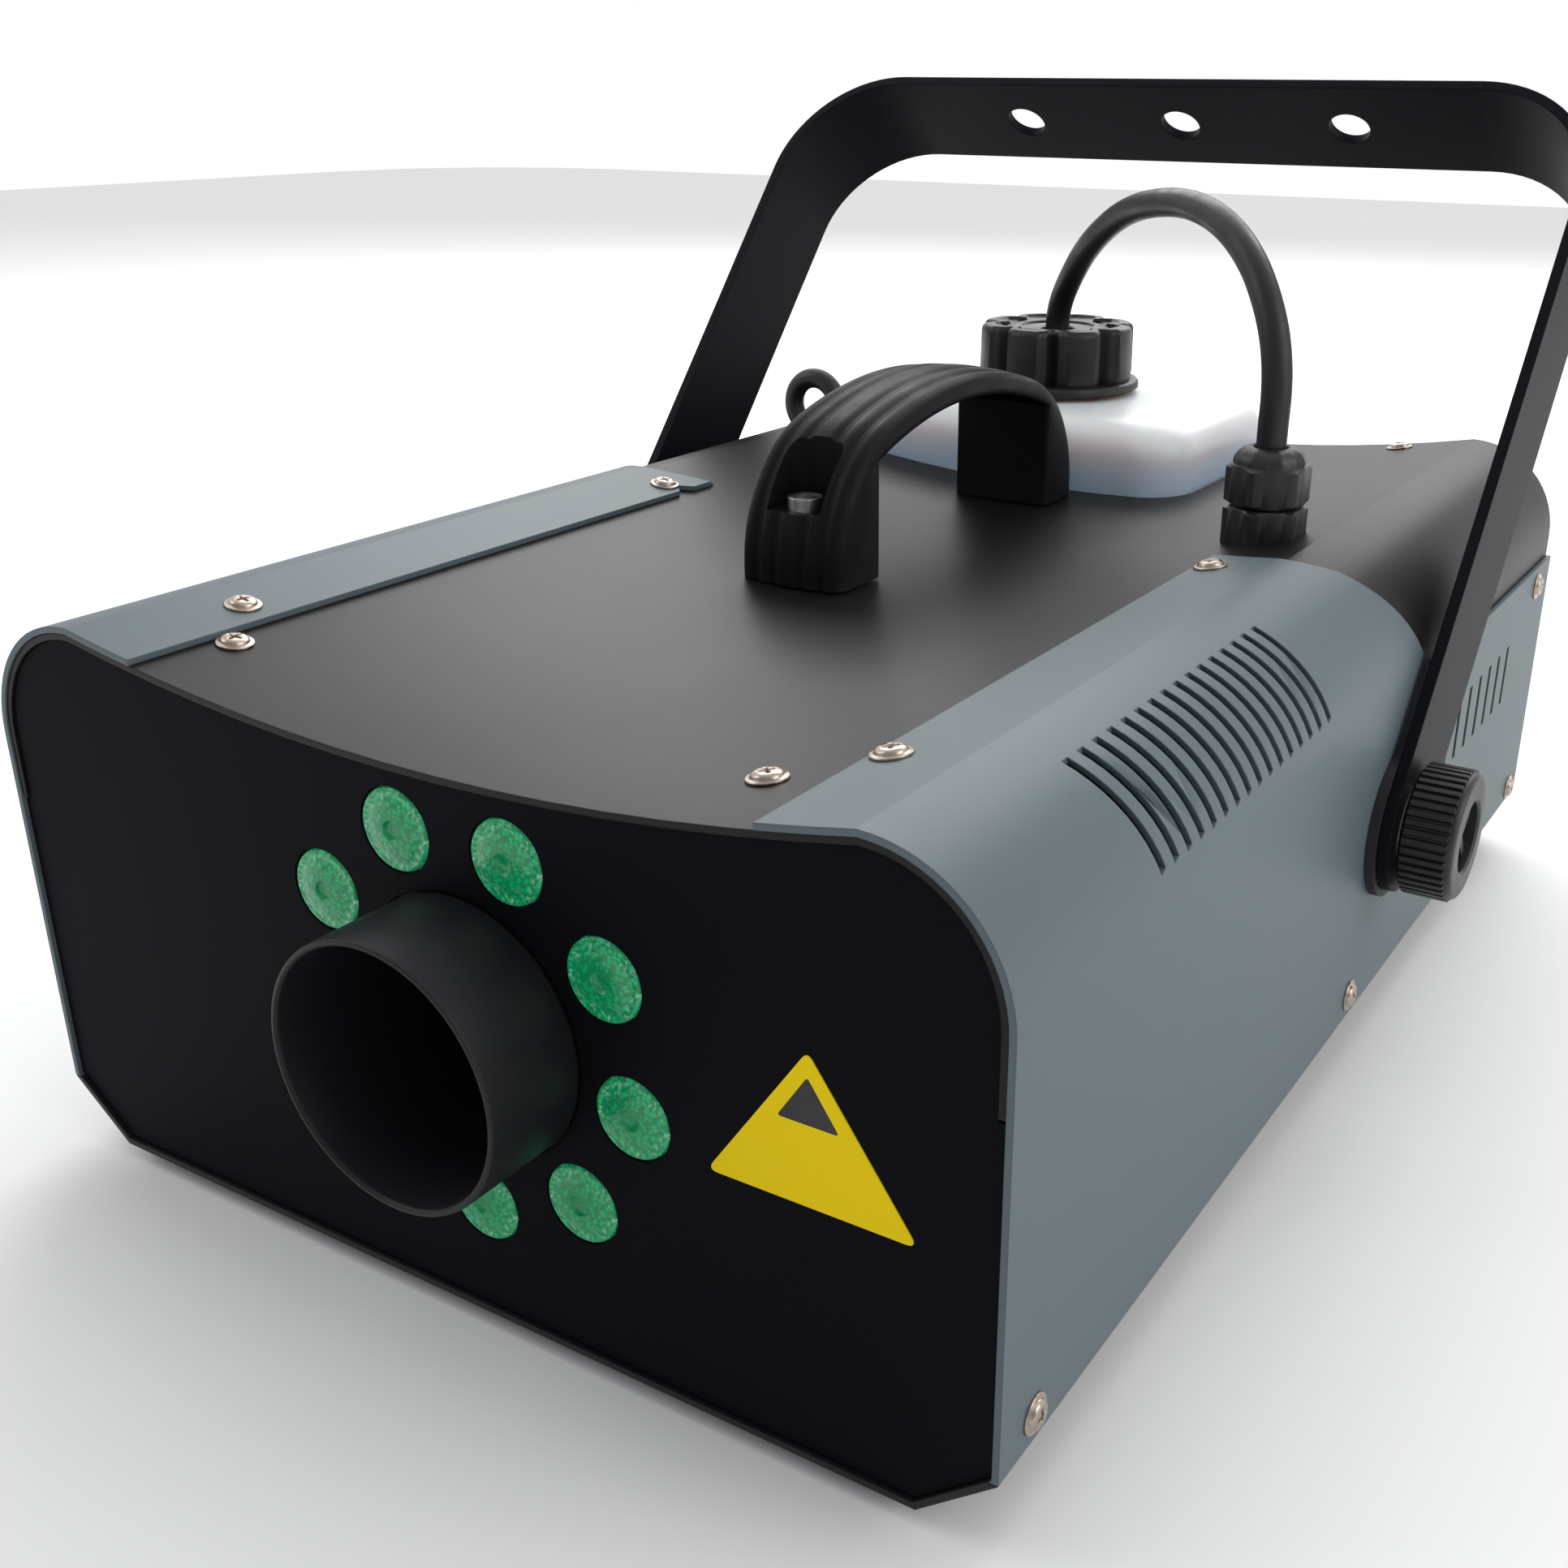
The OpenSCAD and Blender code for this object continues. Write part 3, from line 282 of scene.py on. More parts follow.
def lens_finish():
    """Lit green lens: bright sparkle towards the rim, hexagon cells and a darker centre."""
    made = Surface("lens_green", Roughness=0.18, Coat_Weight=0.25, Coat_Roughness=0.08, Specular_IOR_Level=0.3)
    split = made.node("ShaderNodeSeparateXYZ")
    made.link(made.coords, split.inputs[0])
    radius = made.math("SQRT", made.math("ADD", made.math("POWER", split.outputs[0], 2.0),
                                         made.math("POWER", split.outputs[2], 2.0)))
    share = made.math("DIVIDE", radius, 8.8 * MM)
    cell = made.cells(950, "F1")
    facet = made.ramp(cell, [(0.10, 1.0), (0.62, 0.12)])
    glow = made.ramp(share, [(0.0, (0.002, 0.10, 0.035)), (0.20, (0.004, 0.16, 0.055)),
                             (0.34, (0.006, 0.34, 0.12)), (0.72, (0.010, 0.46, 0.17)),
                             (1.0, (0.035, 0.62, 0.28))])
    spark = made.ramp(made.noise(620, 4, 0.8), [(0.545, 0.0), (0.66, 1.0)])
    rim = made.ramp(share, [(0.50, 0.0), (0.92, 1.0)])
    lit = made.mix(made.math("MULTIPLY", spark, rim), made.mix(facet, (0.004, 0.24, 0.085), glow),
                   (0.62, 1.0, 0.78))
    made.colour(made.mix(facet, (0.002, 0.09, 0.030), (0.006, 0.26, 0.09)))
    made.link(lit, made.shader.inputs["Emission Color"])
    made.shader.inputs["Emission Strength"].default_value = 0.36
    made.bump(cell, 0.5, 0.25 * MM)
    return made.material


def tank_finish():
    """Milky translucent polyethylene, with painted shade: a darker bluish tint below the shoulder."""
    made = Surface("tank_plastic", Roughness=0.34, IOR=1.5, Transmission_Weight=0.04,
                   Subsurface_Weight=0.6, Subsurface_Scale=0.02)
    split = made.node("ShaderNodeSeparateXYZ")
    made.link(made.coords, split.inputs[0])
    # painted shade: the colour darkens and turns bluish below the shoulder and pales to white over the crown
    shade_height = made.math("ADD", split.outputs[2], made.math("MULTIPLY", made.noise(40, 3), 2.0 * MM))
    tint = made.ramp(made.math("MULTIPLY_ADD", shade_height, 28.0, -3.72),
                     [(0.0, (0.58, 0.71, 0.86)), (0.12, (0.70, 0.79, 0.89)), (0.34, (0.88, 0.90, 0.93)),
                      (0.60, (0.93, 0.94, 0.95))])
    made.colour(made.mix(made.math("MULTIPLY", made.noise(22, 4), 0.25), tint, (0.90, 0.93, 0.95)))
    made.bump(made.noise(700, 2), 0.10, 0.03 * MM)
    made.roughness(made.ramp(made.noise(60, 4), [(0.3, 0.27), (0.7, 0.40)]))
    return made.material


def floor_finish():
    made = Surface("pale_floor", Roughness=0.7, Specular_IOR_Level=0.3)
    made.colour(made.mix(made.noise(3, 3), (0.92, 0.92, 0.915), (0.94, 0.94, 0.935)))
    return made.material


LABEL_FILM = label_finish()
LENS_GREEN = lens_finish()
TANK_PLASTIC = tank_finish()

FINISHES = {
    BLACK_COAT: ("rear_panel", "base_tray", "tank_bay", "nozzle_tube"),
    PANEL_COAT: ("front_panel",),
    TOP_COAT: ("top_cover",),
    SLATE_COAT: ("left_side_cover", "right_side_cover"),
    BRACKET_COAT: ("mounting_bracket",),
    FITTING_PLASTIC: ("power_inlet", "power_switch", "fuse_cap", "button_housing", "gland_locknut",
                      "lens_holders", "thermostats"),
    RED_PLASTIC: ("power_rocker", "fog_button"),
    ZINC: ("foot_screws", "left_washer", "right_washer", "left_stud", "right_stud", "pivot_nuts",
           "eye_nut", "heater_brackets", "heater_element", "pump_bracket", "pickup_filter",
           "remote_socket", "handle_screws"),
    BRASS: ("heater_nozzle", "pressure_pipe", "board_standoffs"),
    ALUMINIUM: ("heater_block", "heater_shroud"),
    RUBBER: ("rubber_feet", "friction_pads", "pump_dampers"),
    HOSE_RUBBER: ("suction_hose",),
    SEAL_RUBBER: ("cap_seal",),
    BOARD_GREEN: ("control_board",),
    BOARD_WHITE: ("led_board", "led_emitters", "pickup_tube"),
    RELAY_BLUE: ("board_relays",),
    VARNISH: ("transformer", "pump_body"),
}
for finish, names in FINISHES.items():
    for name in names:
        for material_slot in NODES[name].material_slots:
            material_slot.material = finish


# ---------------------------------------------------------------- mesh helpers

def piece(name, mesh, material, body, *replaced, slot=None, smooth=35, place=None):
    """Finished object from a bmesh or mesh, on a CAD body, standing for CAD nodes."""
    if isinstance(mesh, bmesh.types.BMesh):
        bmesh.ops.remove_doubles(mesh, verts=mesh.verts, dist=1e-6)
        bmesh.ops.recalc_face_normals(mesh, faces=mesh.faces)
        data = bpy.data.meshes.new(name)
        mesh.to_mesh(data)
        mesh.free()
        mesh = data
    mesh.materials.clear()
    mesh.materials.append(material)
    made = bpy.data.objects.new(name, mesh)
    if place is not None:
        made.matrix_world = place
    bpy.context.scene.collection.objects.link(made)
    mesh.shade_smooth()
    mesh.set_sharp_from_angle(angle=math.radians(smooth))
    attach(made, body)
    if replaced:
        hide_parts(*replaced)
    return made


def lathe(mesh, profile, steps, place=Matrix.Identity(4)):
    """Surface of revolution about Z from (radius, height) points. A radius of 0 closes on the axis."""
    rings = []
    for radius, height in profile:
        if radius < 1e-7:
            rings.append([mesh.verts.new(place @ Vector((0, 0, height)))] * steps)
        else:
            rings.append([
                mesh.verts.new(place @ Vector((radius * math.cos(a), radius * math.sin(a), height)))
                for a in (2 * math.pi * k / steps for k in range(steps))
            ])
    join_rings(mesh, rings)
    return rings


def join_rings(mesh, rings):
    """Faces between rings of equal count, leaving out the sides that have collapsed."""
    for low, high in zip(rings, rings[1:]):
        steps = len(low)
        for k in range(steps):
            corners = [low[k], low[(k + 1) % steps], high[(k + 1) % steps], high[k]]
            unique = list(dict.fromkeys(corners))
            if len(unique) > 2:
                mesh.faces.new(unique)


def round_rect(width, depth, radius, steps=8, centre=(0, 0)):
    """Outline of a rectangle with round corners, counter-clockwise."""
    radius = min(radius, width / 2 - 1e-6, depth / 2 - 1e-6)
    points = []
    for sx, sy, start in ((1, 1, 0), (-1, 1, 90), (-1, -1, 180), (1, -1, 270)):
        for k in range(steps + 1):
            a = math.radians(start + 90 * k / steps)
            points.append((centre[0] + sx * (width / 2 - radius) + radius * math.cos(a),
                           centre[1] + sy * (depth / 2 - radius) + radius * math.sin(a)))
    return points


def loft(mesh, sections, place=Matrix.Identity(4), caps=True):
    """Skin over (outline, height) sections of equal count."""
    rings = [[mesh.verts.new(place @ Vector((x, y, z))) for x, y in outline] for outline, z in sections]
    join_rings(mesh, rings)
    if caps:
        mesh.faces.new(rings[0])
        mesh.faces.new(rings[-1])
    return rings


def soft_arc(r_from, z_from, r_to, z_to, steps):
    """Quarter-round profile points from one (radius, height) to another."""
    points = []
    for k in range(steps + 1):
        a = math.pi / 2 * k / steps
        points.append((r_to + (r_from - r_to) * math.cos(a), z_from + (z_to - z_from) * math.sin(a)))
    return points


def top_z(x):
    """Height of the outer skin of the dished top."""
    return FOOT_H + BODY_H - DISH_D + DISH_R - math.sqrt(DISH_R**2 - x * x)


def on_top(x, y, lift):
    """Frame on the dished top, with Z along its normal."""
    lean = -math.asin(x / DISH_R)
    return (Matrix.Translation((x, FRONT_Y + y, top_z(x))) @ Matrix.Rotation(lean, 4, "Y")
            @ Matrix.Translation((0, 0, lift)))


def facing(point, axis):
    """Frame at a point with its Z along axis."""
    return Matrix.Translation(point) @ Vector(axis).to_track_quat("Z", "Y").to_matrix().to_4x4()


# ---------------------------------------------------------------- fluid hose

HOSE_R = 4 * MM
HOSE_ROUTE = [
    Vector((x, y + 9, z)) * MM
    for x, y, z in (
        (-28, 137, 162), (-28, 137, 168), (-28, 137, 174), (-26, 135.4, 180), (-21, 131, 187.5),
        (-13.5, 124.2, 196), (-4.5, 116, 203), (6, 107, 209), (18, 96, 213), (31, 84.5, 215),
        (42, 75, 215), (52, 66.5, 213), (61, 59, 209), (69, 52, 203), (75, 46.5, 196),
        (79.5, 42.5, 188), (82, 40.2, 180), (83, 39.2, 172), (83, 39, 164), (83, 39, 156), (83, 39, 148),
    )
]


def smooth_route(points, parts):
    """Catmull-Rom points through the route."""
    line = []
    last = len(points) - 1
    for i in range(last):
        p0, p1, p2, p3 = points[max(i - 1, 0)], points[i], points[i + 1], points[min(i + 2, last)]
        for k in range(parts):
            t = k / parts
            line.append(0.5 * (2 * p1 + (p2 - p0) * t + (2 * p0 - 5 * p1 + 4 * p2 - p3) * t * t
                               + (3 * p1 - p0 - 3 * p2 + p3) * t**3))
    line.append(points[-1])
    return line


def add_hose():
    line = smooth_route(HOSE_ROUTE, 4)
    sides = 24
    mesh = bmesh.new()
    normal = Vector((0.66, 0.75, 0)).normalized()
    rings = []
    for i, point in enumerate(line):
        along = (line[min(i + 1, len(line) - 1)] - line[max(i - 1, 0)]).normalized()
        u = along.cross(normal).normalized()
        v = along.cross(u)
        rings.append([
            mesh.verts.new(point + HOSE_R * (math.cos(a) * u + math.sin(a) * v))
            for a in (2 * math.pi * k / sides for k in range(sides))
        ])
    join_rings(mesh, rings)
    mesh.faces.new(rings[0])
    mesh.faces.new(rings[-1])
    hose = piece("fluid_hose_piece", mesh, HOSE_RUBBER, "housing", "fluid_hose", slot="fluid_hose")


add_hose()


# ---------------------------------------------------------------- screws

def add_screw_mesh(mesh, place, head_r, head_h, rim_h, recess=1.75 * MM):
    """Pan head with a washer rim and a cross recess, as a polar grid."""
    steps = 56
    profile = [(head_r, 0.0), (head_r, rim_h * 0.7), (head_r * 0.965, rim_h)]
    dome_r = head_r * 0.76
    profile += [(dome_r * 1.05, rim_h), (dome_r, rim_h * 1.12)]
    for k in range(1, 6):
        a = math.pi / 2 * k / 5
        profile.append((dome_r * (0.62 + 0.38 * math.cos(a)), rim_h + (head_h - rim_h) * math.sin(a)))
    for share in (0.52, 0.44, 0.36, 0.28, 0.20, 0.13, 0.07):
        profile.append((dome_r * share, head_h * 1.02))
    profile.append((0.0, head_h * 1.02))
    arm = 0.36 * MM
    rings = []
    for radius, height in profile:
        ring = []
        for k in range(steps):
            a = 2 * math.pi * k / steps
            x, y = radius * math.cos(a), radius * math.sin(a)
            z = height
            if height > rim_h * 1.2:
                across, along = sorted((abs(x), abs(y)))
                if across < arm and along < recess:
                    z -= (head_h * 0.75) * min(1, (recess - along) / (recess * 0.45))
            if radius < 1e-7:
                if k == 0:
                    centre = mesh.verts.new(place @ Vector((0, 0, z)))
                ring.append(centre)
            else:
                ring.append(mesh.verts.new(place @ Vector((x, y, z))))
        rings.append(ring)
    join_rings(mesh, rings)
    mesh.faces.new(rings[0])
    shank = [(1.9 * MM, 0.02 * MM), (1.9 * MM, -3.6 * MM), (1.2 * MM, -4.4 * MM), (0, -4.4 * MM)]
    lathe(mesh, shank, 20, place)


def screw_places():
    """Frames at the undersides of all cover screw heads."""
    places = []
    for x, y, sunk in ((-75.6, 24, 1), (66, 24, 1), (-88, 37, 0), (84.4, 37, 0), (-86, 189, 0), (85, 189, 0),
                       (-78, 376.7, 1), (78, 376.7, 1)):
        places.append(on_top(x * MM, y * MM, 0.05 * MM - sunk * SHEET))
    for s in (-1, 1):
        for y, z in ((13.4, 20.8), (197, 20.8), (374, 19), (369, 91.6)):
            places.append(facing((s * HALF_W, FRONT_Y + y * MM, FOOT_H + z * MM), (s, 0, 0)))
    return places


def add_screws():
    mesh = bmesh.new()
    for i, place in enumerate(screw_places()):
        turn = Matrix.Rotation(math.radians(37 * i + 12), 4, "Z")
        add_screw_mesh(mesh, place @ turn, 4.2 * MM, 1.7 * MM, 0.6 * MM)
    piece("cover_screws_piece", mesh, NICKEL, "housing", "cover_screws", slot="cover_screws", smooth=28)


# ---------------------------------------------------------------- nozzle, lights and label

LENS_R = 8.8 * MM
LIGHT_RING_R = 42 * MM
LIGHTS = 9


def light_centres():
    for i in range(LIGHTS):
        a = math.radians(-90 + 40 * i)
        yield NOZZLE + Vector((LIGHT_RING_R * math.cos(a), 0, LIGHT_RING_R * math.sin(a)))


def add_lenses():
    """Each lens is its own piece so that its finish can follow its own axes."""
    for i, centre in enumerate(light_centres()):
        mesh = bmesh.new()
        turn = Matrix.Rotation(math.radians(90), 4, "X")
        profile = [(0, -11.4 * MM), (4.5 * MM, -11.4 * MM), (LENS_R, -3.6 * MM), (LENS_R, -0.5 * MM)]
        profile += soft_arc(LENS_R, -0.5 * MM, LENS_R - 0.7 * MM, 0.25 * MM, 4)
        for share in (0.88, 0.84):
            profile.append((LENS_R * share, 0.25 * MM - (0.88 - share) * 3 * MM))
        for k in range(1, 9):
            share = 0.84 - 0.58 * k / 8
            profile.append((LENS_R * share, 0.13 * MM + 0.9 * MM * math.sin(math.pi / 2 * k / 8)))
        profile += [(LENS_R * 0.22, 0.55 * MM), (LENS_R * 0.17, 0.30 * MM), (0, 0.22 * MM)]
        lathe(mesh, profile, 48, turn)
        place = Matrix.Translation((centre.x, PANEL_Y + 0.1 * MM, centre.z))
        piece(f"lens_{i + 1}", mesh, LENS_GREEN, "housing", *(["led_lenses"] if i == 0 else []),
              slot="led_lenses", place=place)


def add_nozzle():
    """Outlet tube with a rolled front lip."""
    outer, wall = 29 * MM, 1.6 * MM
    front, back = FRONT_Y - 23 * MM, PANEL_Y + 28 * MM
    inner = outer - wall
    flange_y = PANEL_Y + 1.6 * MM
    profile = [(inner, -back)]
    profile += [(inner, -front - 0.9 * MM), (inner + 0.2 * MM, -front - 0.3 * MM),
                (inner + 0.6 * MM, -front), (outer - 0.6 * MM, -front), (outer - 0.2 * MM, -front - 0.25 * MM),
                (outer, -front - 0.9 * MM), (outer, -PANEL_Y + 0.3 * MM),
                (outer - 0.5 * MM, -PANEL_Y + 0.3 * MM), (outer - 0.5 * MM, -flange_y),
                (outer + 2.4 * MM, -flange_y), (outer + 2.4 * MM, -flange_y - 1.5 * MM),
                (outer - 0.5 * MM, -flange_y - 1.5 * MM), (outer - 0.5 * MM, -back)]
    profile.append(profile[0])
    mesh = bmesh.new()
    place = Matrix.Translation((NOZZLE.x, 0, NOZZLE.z)) @ Matrix.Rotation(math.radians(90), 4, "X")
    lathe(mesh, profile, 160, place)
    piece("nozzle_tube_piece", mesh, BLACK_COAT, "housing", "nozzle_tube", slot="nozzle_tube")


def triangle(half, tall, corner, steps=5):
    """Outline of an upright triangle with round corners, base on y = 0."""
    tips = [Vector((-half, 0)), Vector((half, 0)), Vector((0, tall))]
    points = []
    for i, tip in enumerate(tips):
        to_last = (tips[i - 1] - tip).normalized()
        to_next = (tips[(i + 1) % 3] - tip).normalized()
        angle = to_last.angle(to_next)
        reach = corner / math.tan(angle / 2)
        start, end = tip + to_last * reach, tip + to_next * reach
        for k in range(steps + 1):
            t = k / steps
            points.append(((1 - t) ** 2 * start + 2 * t * (1 - t) * tip + t * t * end)[:])
    return points


def add_label():
    """Plain yellow triangle with a black triangle inside it, without lettering."""
    place = Matrix.Translation((89.7 * MM, PANEL_Y, FOOT_H + 58.3 * MM)) @ Matrix.Rotation(
        math.radians(90), 4, "X")
    mesh = bmesh.new()
    outline = triangle(22.6 * MM, 32.2 * MM, 1.3 * MM)
    loft(mesh, [(outline, 0), (outline, 0.28 * MM)], place)
    piece("front_label_piece", mesh, LABEL_FILM, "housing", "front_label", slot="front_label")
    mesh = bmesh.new()
    inner = triangle(6.6 * MM, 9.8 * MM, 0.5 * MM)
    loft(mesh, [(inner, 0.26 * MM), (inner, 0.30 * MM)], place @ Matrix.Translation((0, 17.3 * MM, 0)))
    piece("front_label_mark", mesh, BLACK_PLASTIC, "housing", slot="front_label")


# ---------------------------------------------------------------- handle

HANDLE_X = -10 * MM
HANDLE_Y = FRONT_Y + 141 * MM
HANDLE_L = 137 * MM
HANDLE_W = 31 * MM
HANDLE_TOP = FOOT_H + 170 * MM


def handle_outline(rise):
    """Side view of the handle: pairs of an outer and an inner point, from the front base to the rear base."""
    crest_r, end_r = 140 * MM, 37.5 * MM
    foot, grip = 21 * MM, 7 * MM
    middle = HANDLE_L / 2
    reach = crest_r - end_r
    end_z = rise - crest_r + math.sqrt(reach**2 - (middle - end_r) ** 2)
    last = math.pi / 2 + math.asin((middle - end_r) / reach)
    corner_z = rise - crest_r + math.sqrt((crest_r - grip) ** 2 - (middle - foot) ** 2)
    arc_steps, foot_steps, crest_steps = 20, 14, 16
    half = [((0, 0), (foot, 0))]
    for k in range(arc_steps + 1):
        a = math.pi - (math.pi - last) * k / arc_steps
        outer = (end_r + end_r * math.cos(a), end_z + end_r * math.sin(a))
        if k <= foot_steps:
            inner = (foot, end_z + (corner_z - end_z) * k / foot_steps)
            turn_y = outer[0]
        else:
            inner = None
        half.append((outer, inner))
    start = half[-1][0][0]
    for k in range(1, crest_steps + 1):
        y = start + (middle - start) * k / crest_steps
        half.append(((y, rise - crest_r + math.sqrt(crest_r**2 - (middle - y) ** 2)), None))
    pairs = []
    for outer, inner in half:
        if inner is None:
            y = foot + (outer[0] - turn_y) / (middle - turn_y) * (middle - foot)
            inner = (y, rise - crest_r + math.sqrt((crest_r - grip) ** 2 - (middle - y) ** 2))
        pairs.append((outer, inner))
    mirrored = [tuple((HANDLE_L - y, z) for y, z in pair) for pair in reversed(pairs[:-1])]
    return pairs + mirrored


def handle_sink(x):
    """Depth of the handle's skin below its crown at a distance from the middle: crown, edges and grooves."""
    half, edge = HANDLE_W / 2, 3.4 * MM
    sink = 1.6 * MM * (x / half) ** 2
    from_side = half - abs(x)
    if from_side < edge:
        sink += edge - math.sqrt(max(edge**2 - (edge - from_side) ** 2, 0))
    for groove in (-9.8 * MM, -4.2 * MM, 4.2 * MM, 9.8 * MM):
        sink += 0.95 * MM * math.exp(-(((x - groove) / (1.25 * MM)) ** 2))
    return sink


def add_handle():
    """Moulded arch handle: a swept section with grooves, and a screw pocket in each foot."""
    base = top_z(HANDLE_X) - SHEET + 0.6 * MM
    across = 72
    edge_in = 1.2 * MM
    mesh = bmesh.new()
    rows = []
    for (oy, oz), (iy, iz) in handle_outline(HANDLE_TOP - base):
        out_point, in_point = Vector((0, oy, oz)), Vector((0, iy, iz))
        down = (in_point - out_point).normalized()
        row = []
        for k in range(across + 1):
            x = HANDLE_W * (k / across - 0.5)
            row.append(out_point + down * handle_sink(x) + Vector((x, 0, 0)))
        for k in range(across, -1, -1):
            x = HANDLE_W * (k / across - 0.5)
            near = max(edge_in - (HANDLE_W / 2 - abs(x)), 0)
            row.append(in_point - down * (edge_in - math.sqrt(edge_in**2 - near**2)) + Vector((x, 0, 0)))
        rows.append([mesh.verts.new(p + Vector((HANDLE_X, HANDLE_Y, base))) for p in row])
    join_rings(mesh, rows)
    mesh.faces.new(rows[0])
    mesh.faces.new(rows[-1])
    handle = piece("carry_handle_piece", mesh, HANDLE_PLASTIC, "housing", "carry_handle",
                   slot="carry_handle", smooth=50)
    cut_pockets(handle, base)


def cut_pockets(handle, base):
    """Cuts the screw pocket into both ends of the handle with rounded cutters."""
    for end in (0, 1):
        mesh = bmesh.new()
        sections = [(round_rect(16.0 * MM, 35 * MM, 4.0 * MM, 6), 18 * MM),
                    (round_rect(16.8 * MM, 36 * MM, 4.8 * MM, 6), 50 * MM)]
        y = HANDLE_Y + (HANDLE_L if end else 0)
        loft(mesh, sections, Matrix.Translation((HANDLE_X, y, base)))
        bmesh.ops.recalc_face_normals(mesh, faces=mesh.faces)
        data = bpy.data.meshes.new("pocket")
        mesh.to_mesh(data)
        mesh.free()
        cutter = bpy.data.objects.new("pocket", data)
        bpy.context.scene.collection.objects.link(cutter)
        modifier = handle.modifiers.new("pocket", "BOOLEAN")
        modifier.operation = "DIFFERENCE"
        modifier.solver = "EXACT"
        modifier.object = cutter
        bake_modifiers(handle)
        bpy.data.objects.remove(cutter)
        bpy.data.meshes.remove(data)


def bake_modifiers(made):
    """Applies the modifiers of a piece to its mesh."""
    bpy.context.view_layer.update()
    graph = bpy.context.evaluated_depsgraph_get()
    data = bpy.data.meshes.new_from_object(made.evaluated_get(graph))
    made.modifiers.clear()
    old = made.data
    made.data = data
    bpy.data.meshes.remove(old)
    data.shade_smooth()
    data.set_sharp_from_angle(angle=math.radians(40))


# ---------------------------------------------------------------- tank and cap

TANK = Vector((-28 * MM, 144 * MM, 0))
NECK = Vector((-28 * MM, 146 * MM, 0))


def add_tank():
    """Blow-moulded tank: soft shoulders rising to the neck."""
    low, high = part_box("fluid_tank")
    width, depth = high.x - low.x, high.y - low.y
    mesh = bmesh.new()
    steps = 12
    floor = low.z
    sections = []
    corner = 16 * MM
    for k in range(5):
        a = math.pi / 2 * k / 4
        inset = 5 * MM * (1 - math.sin(a))
        sections.append((round_rect(width - 2 * inset, depth - 2 * inset, corner - inset, steps),
                         floor + 5 * MM * (1 - math.cos(a))))
    shoulder = FOOT_H + 134 * MM
    crown = FOOT_H + 146 * MM
    sections.append((round_rect(width, depth, corner, steps), shoulder - 60 * MM))
    rise = crown - shoulder
    for k in range(15):
        t = k / 14
        inset = 27 * MM * t**2.1
        height = shoulder + rise * (1 - (1 - t) ** 2.2)
        sections.append((round_rect(width - 2 * inset, depth - 1.25 * inset, corner + 4 * MM * t, steps), height))
    rings = loft(mesh, sections, Matrix.Translation(TANK), caps=False)
    mesh.faces.new(rings[0])
    mesh.faces.new(rings[-1])
    neck = [(20 * MM, crown - 3 * MM), (20 * MM, FOOT_H + 160.6 * MM), (19.6 * MM, FOOT_H + 161 * MM),
            (18 * MM, FOOT_H + 161 * MM), (18 * MM, crown - 3 * MM), (20 * MM, crown - 3 * MM)]
    lathe(mesh, neck, 64, Matrix.Translation(NECK))
    piece("fluid_tank_piece", mesh, TANK_PLASTIC, "tank", "fluid_tank", slot="fluid_tank", smooth=50)


def add_cap():
    """Eight-lobed screw cap with a collar, a shallow top recess and a hose hole."""
    base = FOOT_H + 147.3 * MM
    height = 20.7 * MM
    steps = 192
    lobes = 8

    def rim(angle, inset):
        wave = math.cos(lobes * angle)
        lobe = 26 * MM - 1.9 * MM * max(0, -wave) ** 0.6 - 0.45 * MM * (1 - wave) / 2
        notch = 2.6 * MM * max(0, -wave - 0.80) / 0.20
        return lobe - notch - inset

    def ring(mesh, inset, z, plain=None):
        return [
            mesh.verts.new(NECK + Vector((r * math.cos(a), r * math.sin(a), z)))
            for a, r in ((2 * math.pi * k / steps, plain if plain is not None
                          else rim(2 * math.pi * k / steps, inset)) for k in range(steps))
        ]

    mesh = bmesh.new()
    hole = 6 * MM
    rings = [ring(mesh, 0, base, 20.4 * MM), ring(mesh, 0, base, 27.2 * MM),
             ring(mesh, 0, base + 0.5 * MM, 27.9 * MM), ring(mesh, 0, base + 2.2 * MM, 27.9 * MM),
             ring(mesh, 0, base + 2.9 * MM, 27.3 * MM), ring(mesh, 0.4 * MM, base + 3.1 * MM)]
    rings.append(ring(mesh, 0.0, base + 5 * MM))
    rings.append(ring(mesh, 0.2 * MM, base + height - 2.2 * MM))
    for k in range(1, 5):
        a = math.pi / 2 * k / 4
        rings.append(ring(mesh, 0.2 * MM + 2.0 * MM * (1 - math.cos(a)),
                          base + height - 2.2 * MM + 2.2 * MM * math.sin(a)))
    rings.append(ring(mesh, 4.6 * MM, base + height))
    rings.append(ring(mesh, 5.4 * MM, base + height - 0.9 * MM))
    for plain, drop in ((17.4, 1.4), (15.2, 1.4), (14.6, 0.9), (12.2, 0.9), (11.6, 1.6), (hole / MM + 0.8, 1.6),
                        (hole / MM, 2.2)):
        rings.append(ring(mesh, 0, base + height - drop * MM, plain * MM))
    under = FOOT_H + 162.6 * MM
    rings.append(ring(mesh, 0, under, hole))
    rings.append(ring(mesh, 0, under, 20.4 * MM))
    rings.append(ring(mesh, 0, base, 20.4 * MM))
    join_rings(mesh, rings)
    piece("tank_cap_piece", mesh, BLACK_PLASTIC, "cap", "tank_cap", slot="tank_cap", smooth=45)


# ---------------------------------------------------------------- gland, eye and knobs

